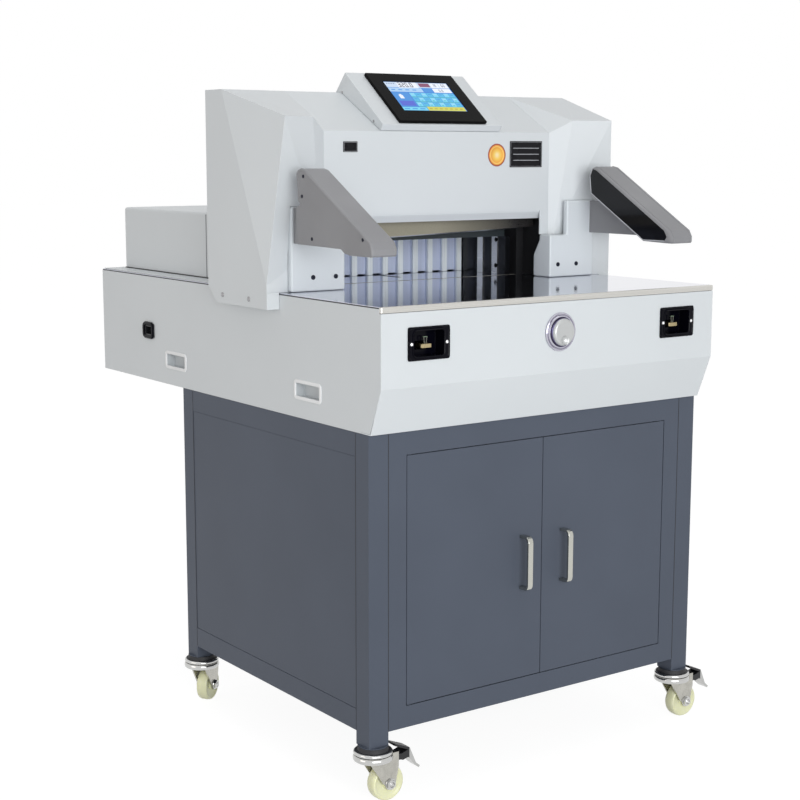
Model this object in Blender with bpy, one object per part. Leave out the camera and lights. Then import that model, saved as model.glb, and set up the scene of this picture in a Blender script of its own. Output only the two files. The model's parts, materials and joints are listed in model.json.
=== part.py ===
"""Programmable paper cutter on a castered cabinet, built as the separate pieces it comes apart into.

Metres, +Z up, +X right, the front faces -Y. Pieces are laid out from the machine's mirror plane (x),
the deck's front face (y) and the floor (z), under an empty that centres the whole on the origin.
"""

import math

import bmesh
import bpy
from mathutils import Matrix, Vector

# Clearances and cutters
seat_gap = 0.0003
slide_gap = 0.0004
fold_gap = 0.0012
overrun = 0.005
round_steps = 24
small_steps = 12
corner_steps = 4
smooth_angle = 35.0

# Deck: the flat sheet-metal housing that carries the table
deck_width = 0.811
deck_depth = 1.1106
deck_height = 0.2253
deck_sheet = 0.002
deck_knee_height = 0.0849
deck_slant_depth = 0.0334
deck_return = 0.030
base_thickness = 0.003

# Stand
stand_width = 0.8084
stand_depth = 0.6897
stand_height = 0.5795
stand_setback = 0.042
post_width = 0.043
post_depth = 0.041
post_foot = 0.0254
top_rail = 0.0437
bottom_rail = 0.0409
doorway_width = 0.643
frame_sheet = 0.003
frame_lip = 0.012
panel_sheet = 0.002
panel_inset = 0.0005
floor_drop = 0.009

# Doors
door_gap = 0.0015
door_depth = 0.018
hinge_inset = 0.008
hinge_setback = 0.0045
hinge_pin_radius = 0.003
hinge_pin_seat = 0.006
handle_height = 0.106
handle_drop = 0.1848
handle_offset = 0.0505
handle_standoff = 0.028
handle_width = 0.012
handle_thickness = 0.006
handle_bend = 0.012

# Casters
caster_height = 0.111
caster_head_radius = 0.028
caster_head_height = 0.016
caster_crown_radius = 0.0355
caster_crown_height = 0.011
caster_head_lap = 0.0012
caster_inset_x = 0.0217
caster_inset_y = 0.0188
wheel_radius = 0.0345
wheel_width = 0.025
wheel_crown = 0.004
hub_radius = 0.0135
hub_recess = 0.0025
trail = 0.027
axle_radius = 0.004
axle_nut_radius = 0.008
axle_nut_height = 0.004
cheek_thickness = 0.003
cheek_gap = 0.002
cheek_reach = 0.0457
bridge_thickness = 0.004
pedal_reach = 0.097
pedal_width = 0.026
pedal_hub_radius = 0.006
pedal_pivot_height = 0.080
front_left_turn = 0.0
front_right_turn = 0.0
rear_left_turn = 36.0
rear_right_turn = -30.0

# Table
table_rise = 0.0032
table_edge = 0.003
table_thickness = 0.012
table_inset = 0.001
nosing_depth = 0.008
nosing_height = 0.0113
nosing_bevel = 0.0015
stick_width = 0.010
stick_depth = 0.0065
stick_length = 0.516
cut_line = 0.443

# Upright covers and the brackets in front of them
cover_inner = 0.2843
cover_outer = 0.433
cover_nose = 0.3073
cover_back = 0.561
cover_height = 0.3812
cover_sheet = 0.002
cover_wall = 0.003
flap_gap = 0.0003
flap_lap = 0.0006
flap_drop = 0.0305
flap_front = 0.336
flap_chamfer = 0.034
bracket_front = 0.3305
bracket_thickness = 0.014
bracket_inner = 0.260
bracket_outer = 0.382
bracket_step = 0.306
bracket_low_height = 0.0895
bracket_high_height = 0.1615
cheek_depth = 0.386
cheek_upright = 0.0455
cheek_shoulder = 0.0785

# Head
head_front = 0.3678
head_half = 0.284
eave_drop = 0.0782
ridge_y = 0.5085
mouth_height = 0.1405
lip_depth = 0.012
lip_drop = 0.017
leg_width = 0.0225
leg_foot = 0.0898
head_back_height = 0.1165

# Console
console_half = 0.150
console_front = 0.361
console_drop = 0.0647
console_slope_length = 0.1695
console_tilt = 38.1
console_back = 0.530
console_wall = 0.0025
bezel_width = 0.218
bezel_height = 0.157
bezel_offset = 0.003
bezel_rise = 0.007
screen_width = 0.160
screen_height = 0.096
screen_offset = 0.037
screen_recess = 0.001
panel_back_width = 0.204
panel_back_height = 0.140
panel_back_depth = 0.012

# Photocell arms
arm_inner = 0.333
arm_outer = 0.391
arm_window_thickness = 0.006
arm_plate_thickness = 0.003
arm_nose = 0.0486
arm_length = 0.245
arm_base_height = 0.082
arm_height = 0.1505
arm_lug_inner = 0.370
arm_lug_outer = 0.376
arm_lug_low = 0.0925
arm_lug_high = 0.160
arm_lug_reach = 0.150

# Rear hood
hood_half = 0.357
hood_front = 0.5613
hood_setback = 0.0076
hood_height = 0.1375
hood_wall = 0.002
hood_round = 0.022
hood_brow = 0.006
hood_flange_half = 0.404
hood_flange = 0.0015

# Frame, knife and clamp
frame_inner = 0.262
frame_outer = 0.280
frame_front = 0.445
frame_back = 0.545
frame_top_drop = 0.0097
frame_shoulder_drop = 0.0397
frame_shoulder_y = 0.496
groove_width = 0.0128
groove_depth = 0.010
groove_top_height = 0.2315
guard_front = 0.3865
guard_inner = 0.2815
guard_outer = 0.284
guard_height = 0.215
guard_lap = 0.001
beam_front = 0.408
beam_back = 0.432
beam_half = 0.278
beam_top_height = 0.2115
blade_cover = 0.005
blade_half = 0.262
blade_thickness = 0.0097
blade_height = 0.088
blade_bevel_height = 0.024
edge_rest_height = 0.0837
swing_angle = 1.65
pivot_x = 0.271
pivot_height = 0.1165
pivot_pin_radius = 0.005
slide_block_width = 0.012
slide_block_low = 0.0935
slide_cap_height = 0.006
slide_cap_gap = 0.003
knife_rod_radius = 0.006
knife_rod_setback = 0.002
knife_rod_room = 0.003
knife_barrel_radius = 0.012
knife_barrel_low = 0.2235
knife_barrel_rise = 0.0165
barrel_end = 0.005
clamp_front = 0.443
clamp_depth = 0.032
clamp_half = 0.2265
clamp_ear_half = 0.2615
clamp_rest_height = 0.0835
clamp_ear_height = 0.1695
clamp_top_height = 0.2115
clamp_rod_radius = 0.008
clamp_rod_room = 0.008
clamp_barrel_radius = 0.015
clamp_barrel_low = 0.2235
clamp_barrel_rise = 0.0285
crossbar_thickness = 0.010
crossbar_depth = 0.036

# Back gauge and its drive
gauge_front = 0.595
gauge_half = 0.2262
gauge_top_height = 0.1095
gauge_wall = 0.008
tooth_pitch = 0.0402
tooth_width = 0.013
tooth_depth = 0.010
tooth_clearance = 0.001
gauge_raise = 0.0025
gauge_foot_depth = 0.077
gauge_foot_half = 0.070
gauge_foot_thickness = 0.008
gauge_foot_gap = 0.0025
gauge_front_travel = 0.1290
gauge_end_room = 0.0776
gusset_height = 0.070
gusset_thickness = 0.006
gusset_place = 0.055
neck_half = 0.005
neck_front = 0.645
neck_depth = 0.023
nut_half = 0.018
nut_front = 0.640
nut_depth = 0.032
slot_clearance = 0.0015
screw_drop = 0.0435
screw_radius = 0.008
screw_front = 0.470
screw_setback = 0.0606
bearing_front = 0.478
bearing_depth = 0.016
bearing_half = 0.020
motor_setback = 0.0696
motor_depth = 0.058
motor_half = 0.040
motor_rise = 0.030
motor_bore_depth = 0.012

# Side gauges
side_gauge_inner = 0.230
side_gauge_thickness = 0.013
side_gauge_front = 0.4435
side_gauge_back = 0.592
side_gauge_height = 0.083
side_rib_rise = 0.002
side_rib_width = 0.0187
side_rib_shares = (0.235, 0.574)
side_hole_radius = 0.0052
side_hole_place = 0.030
side_hole_shares = (0.222, 0.896)

# Front controls
well_width = 0.092
well_height = 0.060
well_place = 0.3045
control_height = 0.1607
well_flange = 0.0015
well_round = 0.004
well_body_width = 0.072
well_body_height = 0.052
well_depth = 0.028
well_wall = 0.003
button_width = 0.024
button_height = 0.014
button_drop = 0.006
button_rise = 0.012
button_lip = 0.002
button_tail = 0.006
button_travel = 0.004
jog_radius = 0.0355
jog_shoulder_radius = 0.033
jog_bore_radius = 0.0262
jog_height = 0.014
jog_foot = 0.003
jog_knob_radius = 0.0258
jog_knob_rise = 0.0155
jog_knob_gap = 0.005
jog_knob_bevel = 0.002
jog_shaft_radius = 0.006
jog_shaft_length = 0.020
jog_shaft_gap = 0.0009
jog_dimple_radius = 0.008
jog_dimple_depth = 0.003
jog_dimple_place = 0.0155
jog_dimple_shares = (0.70, 0.75)

# Side fittings
grip_width = 0.094
grip_height = 0.0375
grip_low = 0.035
grip_front_y = 0.1909
grip_rear_setback = 0.3989
grip_depth = 0.022
grip_wall = 0.002
grip_rim = 0.003
inlet_setback = 0.2296
inlet_height = 0.1085
inlet_flange_width = 0.050
inlet_flange_height = 0.031
inlet_flange = 0.002
inlet_round = 0.004
inlet_body_width = 0.046
inlet_body_height = 0.027
inlet_depth = 0.026
inlet_socket_width = 0.0245
inlet_socket_height = 0.0165
inlet_socket_depth = 0.018
inlet_pin_length = 0.011
inlet_pin_width = 0.004
inlet_pin_thickness = 0.002
inlet_pin_spread = 0.007

# Hydraulic unit
tank_setback = 0.1306
tank_depth_share = 0.234
tank_inner = 0.090
tank_width = 0.200
tank_height = 0.110
pump_radius = 0.042
pump_length = 0.200
vent_count = 9
vent_pitch = 0.030
vent_width = 0.018
vent_height = 0.006
vent_rows_shares = (0.45, 0.60, 0.75)

# Places worked out from the sizes above
deck_z = caster_height + stand_height
table_top = deck_z + deck_height + table_rise
deck_half = deck_width / 2
stand_half = stand_width / 2
stand_back = stand_setback + stand_depth
rail_low = caster_height + post_foot
panel_low = rail_low + bottom_rail
panel_high = deck_z - top_rail
swing = math.radians(swing_angle)
eave_height = cover_height - eave_drop
console_low_height = cover_height - console_drop
frame_top_height = cover_height - frame_top_drop
frame_shoulder_height = cover_height - frame_shoulder_drop
knife_barrel_top = eave_height + knife_barrel_rise
clamp_barrel_top = eave_height + clamp_barrel_rise
hood_back = deck_depth - hood_setback
screw_back = deck_depth - screw_setback
motor_front = deck_depth - motor_setback
gauge_back_travel = deck_depth - gauge_end_room - neck_front - neck_depth
tank_depth = deck_depth * tank_depth_share
tank_front = deck_depth - tank_setback - tank_depth
inlet_y = deck_depth - inlet_setback
grip_rear_y = deck_depth - grip_rear_setback
table_half = deck_half - table_inset
table_back = deck_depth - deck_sheet - seat_gap
blade_back = beam_back + seat_gap + blade_thickness
gauge_plane = gauge_front + tooth_depth
tooth_count = int(2 * gauge_half / tooth_pitch) + 1
screw_z = table_top - screw_drop
swivel_axes = {
    "front_left": (-stand_half + caster_inset_x, stand_setback + caster_inset_y, front_left_turn),
    "front_right": (stand_half - caster_inset_x, stand_setback + caster_inset_y, front_right_turn),
    "rear_left": (-stand_half + caster_inset_x, stand_back - caster_inset_y, rear_left_turn),
    "rear_right": (stand_half - caster_inset_x, stand_back - caster_inset_y, rear_right_turn),
}
reach_right = max(cover_outer, stand_half - caster_inset_x + pedal_reach)
centre_x = (reach_right - cover_outer) / 2
centre_y = (deck_depth - jog_knob_rise) / 2

# Outlines as shares of the sizes that they follow
cover_shares = {
    "ridge_outer": (1.0, 0.748, 1.0),
    "brow_inner": (0.280, 0.125, 0.861),
    "brow_outer": (0.822, 0.0, 0.861),
    "chin_inner": (0.079, 0.208, 0.234),
}
cover_elbow_share = 0.038
arm_plate_shares = (
    (0.000, 0.020), (0.012, 0.000), (0.293, 0.000), (0.365, 0.064), (0.990, 0.078), (1.010, 0.110),
    (1.010, 0.532), (0.954, 0.559), (0.968, 0.619), (1.000, 0.934), (0.985, 0.976), (0.942, 1.000),
    (0.893, 0.984), (0.100, 0.236), (0.030, 0.172), (0.000, 0.090),
)
arm_band_shares = (
    (0.000, 0.020), (0.012, 0.000), (0.059, 0.000), (0.344, 0.011), (0.980, 0.599), (1.000, 0.934),
    (0.985, 0.976), (0.942, 1.000), (0.893, 0.984), (0.100, 0.236), (0.030, 0.172), (0.000, 0.090),
)
arm_window_shares = (
    (0.055, 0.086), (0.082, 0.031), (0.326, 0.027), (0.969, 0.628), (0.989, 0.880), (0.961, 0.967),
    (0.915, 0.950), (0.086, 0.169),
)
caster_head_share = 0.92
caster_crown_shares = (0.88, 0.33)
axle_foot_share = 0.85
cheek_shares = ((-0.48, 0.81), (0.20, 0.36), (1.0, 0.60), (1.0, 0.84), (-0.52, 0.84))
pedal_shares = (
    (0.42, 0.964), (0.76, 0.842), (0.905, 0.550), (1.00, 0.478), (0.975, 0.446), (0.870, 0.522),
    (0.735, 0.680), (0.60, 0.650), (0.49, 0.690), (0.49, 0.745), (0.725, 0.810), (0.41, 0.928),
)


def clear_scene():
    for obj in list(bpy.data.objects):
        bpy.data.objects.remove(obj, do_unlink=True)


def finish(name, colour, roughness, metallic):
    """A plain Principled material."""
    made = bpy.data.materials.new(name)
    made.use_nodes = True
    shader = made.node_tree.nodes["Principled BSDF"]
    shader.inputs["Base Color"].default_value = (*colour, 1.0)
    shader.inputs["Roughness"].default_value = roughness
    shader.inputs["Metallic"].default_value = metallic
    return made


def pair(side, near, far):
    """The (low, high) span from near to far on one side of the mirror plane."""
    return tuple(sorted((side * near, side * far)))


def mirrored(side, points):
    return [(side * x, z) for x, z in points]


def from_shares(shares, start, size):
    return [(start[0] + a * size[0], start[1] + b * size[1]) for a, b in shares]


def block(x, y, z):
    """A closed box between three (low, high) pairs."""
    shape = bmesh.new()
    bmesh.ops.create_cube(shape, size=1)
    size = Vector((x[1] - x[0], y[1] - y[0], z[1] - z[0]))
    middle = Vector((x[0] + x[1], y[0] + y[1], z[0] + z[1])) / 2
    for vertex in shape.verts:
        vertex.co = vertex.co * size + middle
    return shape


def prism(outline, axis, span):
    """A closed outline pushed along an axis: (y, z) along X, (x, z) along Y or (x, y) along Z."""
    shape = bmesh.new()
    place = {
        "X": lambda a, b, c: (c, a, b),
        "Y": lambda a, b, c: (a, c, b),
        "Z": lambda a, b, c: (a, b, c),
    }[axis]
    ends = [[shape.verts.new(place(a, b, c)) for a, b in outline] for c in span]
    for end in ends:
        shape.faces.new(end)
    count = len(outline)
    for i in range(count):
        j = (i + 1) % count
        shape.faces.new((ends[0][i], ends[0][j], ends[1][j], ends[1][i]))
    bmesh.ops.recalc_face_normals(shape, faces=shape.faces)
    return shape


def turned(profile, centre, axis, steps=round_steps):
    """A profile of (radius, height) points revolved about an axis through centre.

    A profile that starts and ends on the axis makes a solid; one that stays off it makes a ring."""
    shape = bmesh.new()
    rings = []
    for radius, height in profile:
        if radius == 0:
            rings.append([shape.verts.new((0, 0, height))] * steps)
            continue
        turns = [2 * math.pi * i / steps for i in range(steps)]
        rings.append([shape.verts.new((radius * math.cos(t), radius * math.sin(t), height)) for t in turns])
    solid = profile[0][0] == 0
    for k in range(len(rings) - 1 if solid else len(rings)):
        low = rings[k]
        high = rings[(k + 1) % len(rings)]
        for i in range(steps):
            j = (i + 1) % steps
            corners = list(dict.fromkeys((low[i], low[j], high[j], high[i])))
            if len(corners) > 2:
                shape.faces.new(corners)
    bmesh.ops.recalc_face_normals(shape, faces=shape.faces)
    lean = Vector((0, 0, 1)).rotation_difference(Vector(axis)).to_matrix().to_4x4()
    bmesh.ops.transform(shape, matrix=Matrix.Translation(centre) @ lean, verts=shape.verts)
    return shape


def rod(radius, centre, axis, span, steps=small_steps):
    """A round bar about an axis, from span[0] to span[1] along it."""
    low, high = span
    return turned(((0, low), (radius, low), (radius, high), (0, high)), centre, axis, steps)


def arc(centre, radius, start, end, steps):
    """Points on a circular arc, in degrees."""
    turns = [math.radians(start + (end - start) * i / steps) for i in range(steps + 1)]
    return [(centre[0] + radius * math.cos(t), centre[1] + radius * math.sin(t)) for t in turns]


def rounded(centre, half, radius):
    """A rectangle with rounded corners, from its centre and its half sizes."""
    outline = []
    for across, up, start in ((1, -1, 270), (1, 1, 0), (-1, 1, 90), (-1, -1, 180)):
        middle = (centre[0] + across * (half[0] - radius), centre[1] + up * (half[1] - radius))
        outline += arc(middle, radius, start, start + 90, corner_steps)
    return outline


def joined(shapes):
    """Several shapes that don't touch, as one cutter."""
    mesh = bpy.data.meshes.new("joined")
    whole = bmesh.new()
    for shape in shapes:
        shape.to_mesh(mesh)
        whole.from_mesh(mesh)
        shape.free()
    bpy.data.meshes.remove(mesh)
    return whole


def inset(outline, distance):
    """The outline moved inwards by a distance, with mitred corners."""
    count = len(outline)
    area = sum(
        outline[i][0] * outline[(i + 1) % count][1] - outline[(i + 1) % count][0] * outline[i][1]
        for i in range(count)
    )
    turn = 1 if area > 0 else -1
    moved = []
    for i in range(count):
        before = Vector(outline[i - 1])
        here = Vector(outline[i])
        after = Vector(outline[(i + 1) % count])
        first = (here - before).normalized()
        second = (after - here).normalized()
        first_in = Vector((-first.y, first.x)) * turn
        second_in = Vector((-second.y, second.x)) * turn
        mitre = first_in + second_in
        moved.append(tuple(here + mitre * (2 * distance / mitre.length_squared)))
    return moved


pivots = {}


def mesh_of(name, shape, pivot, smooth):
    bmesh.ops.translate(shape, vec=-Vector(pivot), verts=shape.verts)
    mesh = bpy.data.meshes.new(name)
    shape.to_mesh(mesh)
    shape.free()
    if smooth:
        mesh.shade_smooth()
        mesh.set_sharp_from_angle(angle=math.radians(smooth_angle))
    return mesh


def helper(name, shape, owner, pivot, smooth):
    """A hidden operand that moves with the piece it shapes."""
    tool = bpy.data.objects.new(name, mesh_of(name, shape, pivot, smooth))
    bpy.context.scene.collection.objects.link(tool)
    tool.parent = owner
    tool.hide_render = True
    tool.display_type = "WIRE"
    return tool


def node(name, shape, look, pivot=(0, 0, 0), parent=None, add=(), cut=(), inside=(), smooth=False, bevel=0):
    """One piece: a base shape, shapes added to it, shapes cut from it, then shapes added inside the cuts.

    pivot is the place of its origin, on its joint's axis where it has one."""
    piece = bpy.data.objects.new(name, mesh_of(name, shape, pivot, smooth))
    bpy.context.scene.collection.objects.link(piece)
    piece.data.materials.append(look)
    piece.parent = parent or datum
    piece.location = Vector(pivot) - pivots.get(piece.parent.name, Vector())
    pivots[name] = Vector(pivot)
    stages = (("add", "UNION", add), ("cut", "DIFFERENCE", cut), ("inside", "UNION", inside))
    for stage, operation, shapes in stages:
        for number, operand in enumerate(shapes):
            label = f"{name}_{stage}_{number}"
            step = piece.modifiers.new(label, "BOOLEAN")
            step.operation = operation
            step.solver = "EXACT"
            step.object = helper(label, operand, piece, pivot, smooth)
    if bevel:
        step = piece.modifiers.new("edges", "BEVEL")
        step.width = bevel
        step.segments = 2
        step.limit_method = "ANGLE"
    return piece


# Stand


def make_stand():
    post_x = stand_half - post_width
    post_y = (stand_setback + post_depth, stand_back - post_depth)
    through_x = (-stand_half - overrun, stand_half + overrun)
    through_y = (stand_setback - overrun, stand_back + overrun)
    below = (caster_height - overrun, rail_low)
    window = (panel_low, panel_high)
    heads = []
    for x, y, _ in swivel_axes.values():
        low = caster_height - caster_head_height
        profile = (
            (0, low), (caster_crown_radius * caster_head_share, low),
            (caster_head_radius, low + caster_head_height / 2),
            (caster_head_radius, caster_height + caster_head_lap), (0, caster_height + caster_head_lap),
        )
        heads.append(turned(profile, (x, y, 0), (0, 0, 1)))
    sockets = []
    for side in (-1, 1):
        for low, high in ((panel_low - hinge_pin_seat, panel_low + overrun),
                          (panel_high - overrun, panel_high + hinge_pin_seat)):
            centre = (side * hinge_x(), hinge_y(), 0)
            sockets.append(rod(hinge_pin_radius + seat_gap, centre, (0, 0, 1), (low, high)))
    node(
        "stand_frame",
        block((-stand_half, stand_half), (stand_setback, stand_back), (caster_height, deck_z - seat_gap)),
        cabinet_grey,
        add=heads,
        cut=[
            block((-doorway_width / 2, doorway_width / 2), through_y, window),
            block(through_x, post_y, window),
            block((-post_x, post_x), post_y, (rail_low - overrun, deck_z + overrun)),
            block((-post_x, post_x), through_y, below),
            block(through_x, post_y, below),
            *frame_hollows(),
            joined(sockets),
        ],
        smooth=True,
    )
    inner_y = (post_y[0] + seat_gap, post_y[1] - seat_gap)
    inner_z = (panel_low + seat_gap, panel_high - seat_gap)
    outer_x = stand_half - panel_inset
    for side, name in ((-1, "stand_left_panel"), (1, "stand_right_panel")):
        node(name, block(pair(side, outer_x - panel_sheet, outer_x), inner_y, inner_z), cabinet_grey)
    half = doorway_width / 2 - seat_gap
    rear_y = stand_back - panel_inset
    node("stand_rear_panel", block((-half, half), (rear_y - panel_sheet, rear_y), inner_z), cabinet_grey)
    floor_z = panel_low - floor_drop
    node(
        "stand_floor",
        block((-post_x + seat_gap, post_x - seat_gap), inner_y, (floor_z - panel_sheet, floor_z)),
        cabinet_grey,
    )


def frame_hollows():
    """What folding the frame from sheet leaves open inside its rails and posts."""
    half = stand_half - frame_sheet
    across = (-half, half)
    depth = (stand_setback + frame_sheet, stand_back - frame_sheet)
    lip_low = panel_low - frame_lip
    lip_high = panel_high + frame_lip
    hollows = [
        block(across, depth, (rail_low + frame_sheet, lip_low)),
        block(across, depth, (lip_high, deck_z - seat_gap - frame_sheet)),
    ]
    for side in (-1, 1):
        post = pair(side, doorway_width / 2 + frame_sheet, half)
        hollows.append(block(post, depth, (lip_low - overrun, lip_high + overrun)))
    return hollows


def hinge_x():
    return doorway_width / 2 - door_gap - hinge_inset


def hinge_y():
    return stand_setback + hinge_setback


def handle_outline(face):
    """A flat bar bent into a square bow, in (y, z), with its feet on the door's face."""
    top = panel_high - handle_drop
    low = top - handle_height
    front = face - handle_standoff
    inner_bend = handle_bend - handle_thickness
    outer = [(face, low)]
    outer += arc((front + handle_bend, low + handle_bend), handle_bend, 270, 180, 4)
    outer += arc((front + handle_bend, top - handle_bend), handle_bend, 180, 90, 4)
    outer += [(face, top), (face, top - handle_thickness)]
    outer += arc((front + handle_bend, top - handle_bend), inner_bend, 90, 180, 4)
    outer += arc((front + handle_bend, low + handle_bend), inner_bend, 180, 270, 4)
    outer += [(face, low + handle_thickness)]
    return outer


def make_door(side, name):
    outer = doorway_width / 2 - door_gap
    low = panel_low + door_gap
    high = panel_high - door_gap
    back = stand_setback + door_depth
    pivot = (side * hinge_x(), hinge_y(), low)
    centre = (side * hinge_x(), hinge_y(), 0)
    pin = hinge_pin_seat - seat_gap
    door = node(
        name,
        block(pair(side, door_gap / 2, outer), (stand_setback, back), (low, high)),
        cabinet_grey,
        pivot=pivot,
        add=[
            rod(hinge_pin_radius, centre, (0, 0, 1), (low - pin, low + panel_sheet / 2)),
            rod(hinge_pin_radius, centre, (0, 0, 1), (high - panel_sheet / 2, high + pin)),
        ],
        cut=[
            block(
                pair(side, door_gap / 2 + panel_sheet, outer - panel_sheet),
                (stand_setback + panel_sheet, back + overrun),
                (low + panel_sheet, high - panel_sheet),
            )
        ],
    )
    node(
        name + "_handle",
        prism(
            handle_outline(stand_setback - seat_gap),
            "X",
            pair(side, handle_offset - handle_width / 2, handle_offset + handle_width / 2),
        ),
        chrome,
        pivot=pivot,
        parent=door,
        smooth=True,
    )


# Casters


def make_caster(place, braked):
    x, y, turn = swivel_axes[place]
    crown_top = caster_height - caster_head_height - seat_gap
    crown_low = crown_top - caster_crown_height
    cheek_inner = wheel_width / 2 + cheek_gap
    cheek_outer = cheek_inner + cheek_thickness
    nut_end = cheek_outer + axle_nut_height
    cheek = from_shares(cheek_shares, (x, 0), (cheek_reach, caster_height))
    foot = arc((x + trail, wheel_radius), hub_radius * axle_foot_share, 190, 350, 6)
    outline = [cheek[0], cheek[1], *foot, cheek[2], cheek[3], cheek[4]]
    radius_share, height_share = caster_crown_shares
    crown = (
        (0, crown_low), (caster_crown_radius * radius_share, crown_low),
        (caster_crown_radius, crown_low + caster_crown_height * height_share),
        (caster_crown_radius, crown_top), (0, crown_top),
    )
    axle = (x + trail, y, wheel_radius)
    fork = node(
        f"{place}_caster_fork",
        turned(crown, (x, y, 0), (0, 0, 1)),
        zinc,
        pivot=(x, y, wheel_radius),
        add=[
            prism(outline, "Y", (y - cheek_outer, y - cheek_inner)),
            prism(outline, "Y", (y + cheek_inner, y + cheek_outer)),
            block(
                (x, x + cheek_reach - seat_gap),
                (y - cheek_inner - cheek_thickness / 2, y + cheek_inner + cheek_thickness / 2),
                (crown_low - bridge_thickness, crown_low + bridge_thickness / 2),
            ),
            rod(axle_radius, axle, (0, 1, 0), (-cheek_outer, cheek_outer)),
            rod(axle_nut_radius, axle, (0, 1, 0), (-nut_end, -cheek_outer + cheek_thickness / 2)),
            rod(axle_nut_radius, axle, (0, 1, 0), (cheek_outer - cheek_thickness / 2, nut_end)),
        ],
        smooth=True,
    )
    fork.rotation_euler.z = math.radians(turn)
    half = wheel_width / 2
    tyre = (
        (axle_radius + seat_gap, -half), (hub_radius, -half), (hub_radius + hub_recess, -half + hub_recess),
        (wheel_radius - wheel_crown * 2, -half + hub_recess), (wheel_radius - wheel_crown, -half),
        (wheel_radius, -half + wheel_crown), (wheel_radius, half - wheel_crown),
        (wheel_radius - wheel_crown, half), (wheel_radius - wheel_crown * 2, half - hub_recess),
        (hub_radius + hub_recess, half - hub_recess), (hub_radius, half), (axle_radius + seat_gap, half),
    )
    node(
        f"{place}_caster_wheel",
        turned(tyre, axle, (0, 1, 0)),
        wheel_cream,
        pivot=axle,
        parent=fork,
        smooth=True,
    )
    if braked:
        pedal_x = x + cheek_reach + pedal_hub_radius
        hub = (pedal_x, y, pedal_pivot_height)
        half = pedal_width / 2
        pedal = from_shares(pedal_shares, (x, 0), (pedal_reach, caster_height))
        node(
            f"{place}_brake_pedal",
            prism(pedal, "Y", (y - half, y + half)),
            brake_black,
            pivot=hub,
            parent=fork,
            add=[rod(pedal_hub_radius, hub, (0, 1, 0), (-half, half))],
            smooth=True,
        )


# Deck


def side_outline():
    """The side panel in (y, z): upright front edge, slanted below the knee."""
    front = deck_sheet + seat_gap
    low_front = deck_slant_depth + deck_sheet + fold_gap
    notch = table_top - nosing_height
    return [
        (nosing_depth + seat_gap, deck_z + deck_height), (nosing_depth + seat_gap, notch), (front, notch),
        (front, deck_z + deck_knee_height), (low_front, deck_z + deck_sheet + seat_gap),
        (deck_slant_depth + deck_return + seat_gap, deck_z + deck_sheet + seat_gap),
        (deck_slant_depth + deck_return + seat_gap, deck_z),
        (deck_depth, deck_z), (deck_depth, deck_z + deck_height),
    ]


def make_deck_front():
    outer = [
        (0, table_top - nosing_height), (0, deck_z + deck_knee_height),
        (deck_slant_depth, deck_z), (deck_slant_depth + deck_return, deck_z),
    ]
    lean = math.atan2(deck_slant_depth, deck_knee_height)
    shift = deck_sheet * math.tan(lean / 2)
    rise = deck_sheet * math.tan((math.pi / 2 - lean) / 2)
    inner = [
        (deck_slant_depth + deck_return, deck_z + deck_sheet),
        (deck_slant_depth + rise, deck_z + deck_sheet),
        (deck_sheet, deck_z + deck_knee_height + shift),
        (deck_sheet, outer[0][1]),
    ]
    z = deck_z + control_height
    cuts = [rod(jog_shaft_radius + jog_shaft_gap, (0, 0, z), (0, 1, 0), (-overrun, overrun * 2), round_steps)]
    for side in (-1, 1):
        half_x = well_body_width / 2 + slide_gap
        half_z = well_body_height / 2 + slide_gap
        centre = side * well_place
        hole_x = (centre - half_x, centre + half_x)
        cuts.append(block(hole_x, (-overrun, deck_sheet + overrun), (z - half_z, z + half_z)))
    node("deck_front_panel", prism(outer + inner, "X", (-deck_half, deck_half)), housing_white, cut=cuts)


def grip_places():
    middle = deck_z + grip_low + grip_height / 2
    return [(grip_front_y + grip_width / 2, middle), (grip_rear_y + grip_width / 2, middle)]


def make_deck_side(side, name):
    sheet = pair(side, deck_half - deck_sheet, deck_half)
    cups = []
    pockets = []
    for y, z in grip_places():
        half_y = grip_width / 2
        half_z = grip_height / 2
        cup_x = pair(side, deck_half - grip_depth, deck_half - deck_sheet / 2)
        cups.append(block(cup_x, (y - half_y, y + half_y), (z - half_z, z + half_z)))
        half_y -= grip_rim
        half_z -= grip_rim
        pockets.append(
            block(
                pair(side, deck_half - grip_depth + grip_wall, deck_half + overrun),
                (y - half_y, y + half_y),
                (z - half_z, z + half_z),
            )
        )
    if side < 0:
        half_y = inlet_body_width / 2 + slide_gap
        half_z = inlet_body_height / 2 + slide_gap
        z = deck_z + inlet_height
        pockets.append(
            block(
                pair(side, deck_half - deck_sheet - overrun, deck_half + overrun),
                (inlet_y - half_y, inlet_y + half_y),
                (z - half_z, z + half_z),
            )
        )
    node(name, prism(side_outline(), "X", sheet), housing_white, add=[joined(cups)], cut=[joined(pockets)])


def make_deck_rest():
    inner = deck_half - deck_sheet - seat_gap
    vents = []
    for share in vent_rows_shares:
        z = deck_z + deck_height * share
        for i in range(vent_count):
            x = (i - (vent_count - 1) / 2) * vent_pitch
            vents.append(
                block(
                    (x - vent_width / 2, x + vent_width / 2),
                    (deck_depth - deck_sheet - overrun, deck_depth + overrun),
                    (z - vent_height / 2, z + vent_height / 2),
                )
            )
    back_z = (deck_z, deck_z + deck_height)
    node(
        "deck_rear_panel",
        block((-inner, inner), (deck_depth - deck_sheet, deck_depth), back_z),
        housing_white,
        cut=[joined(vents)],
    )
    front = deck_slant_depth + deck_return + seat_gap
    bearing_y = (bearing_front, bearing_front + bearing_depth)
    bearing_z = (deck_z + base_thickness / 2, screw_z + bearing_half)
    node(
        "deck_base_plate",
        block((-inner, inner), (front, table_back), (deck_z, deck_z + base_thickness)),
        zinc,
        add=[block((-bearing_half, bearing_half), bearing_y, bearing_z)],
        cut=[screw_bore(bearing_y[0] - overrun, bearing_y[1] + overrun)],
    )


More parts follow.
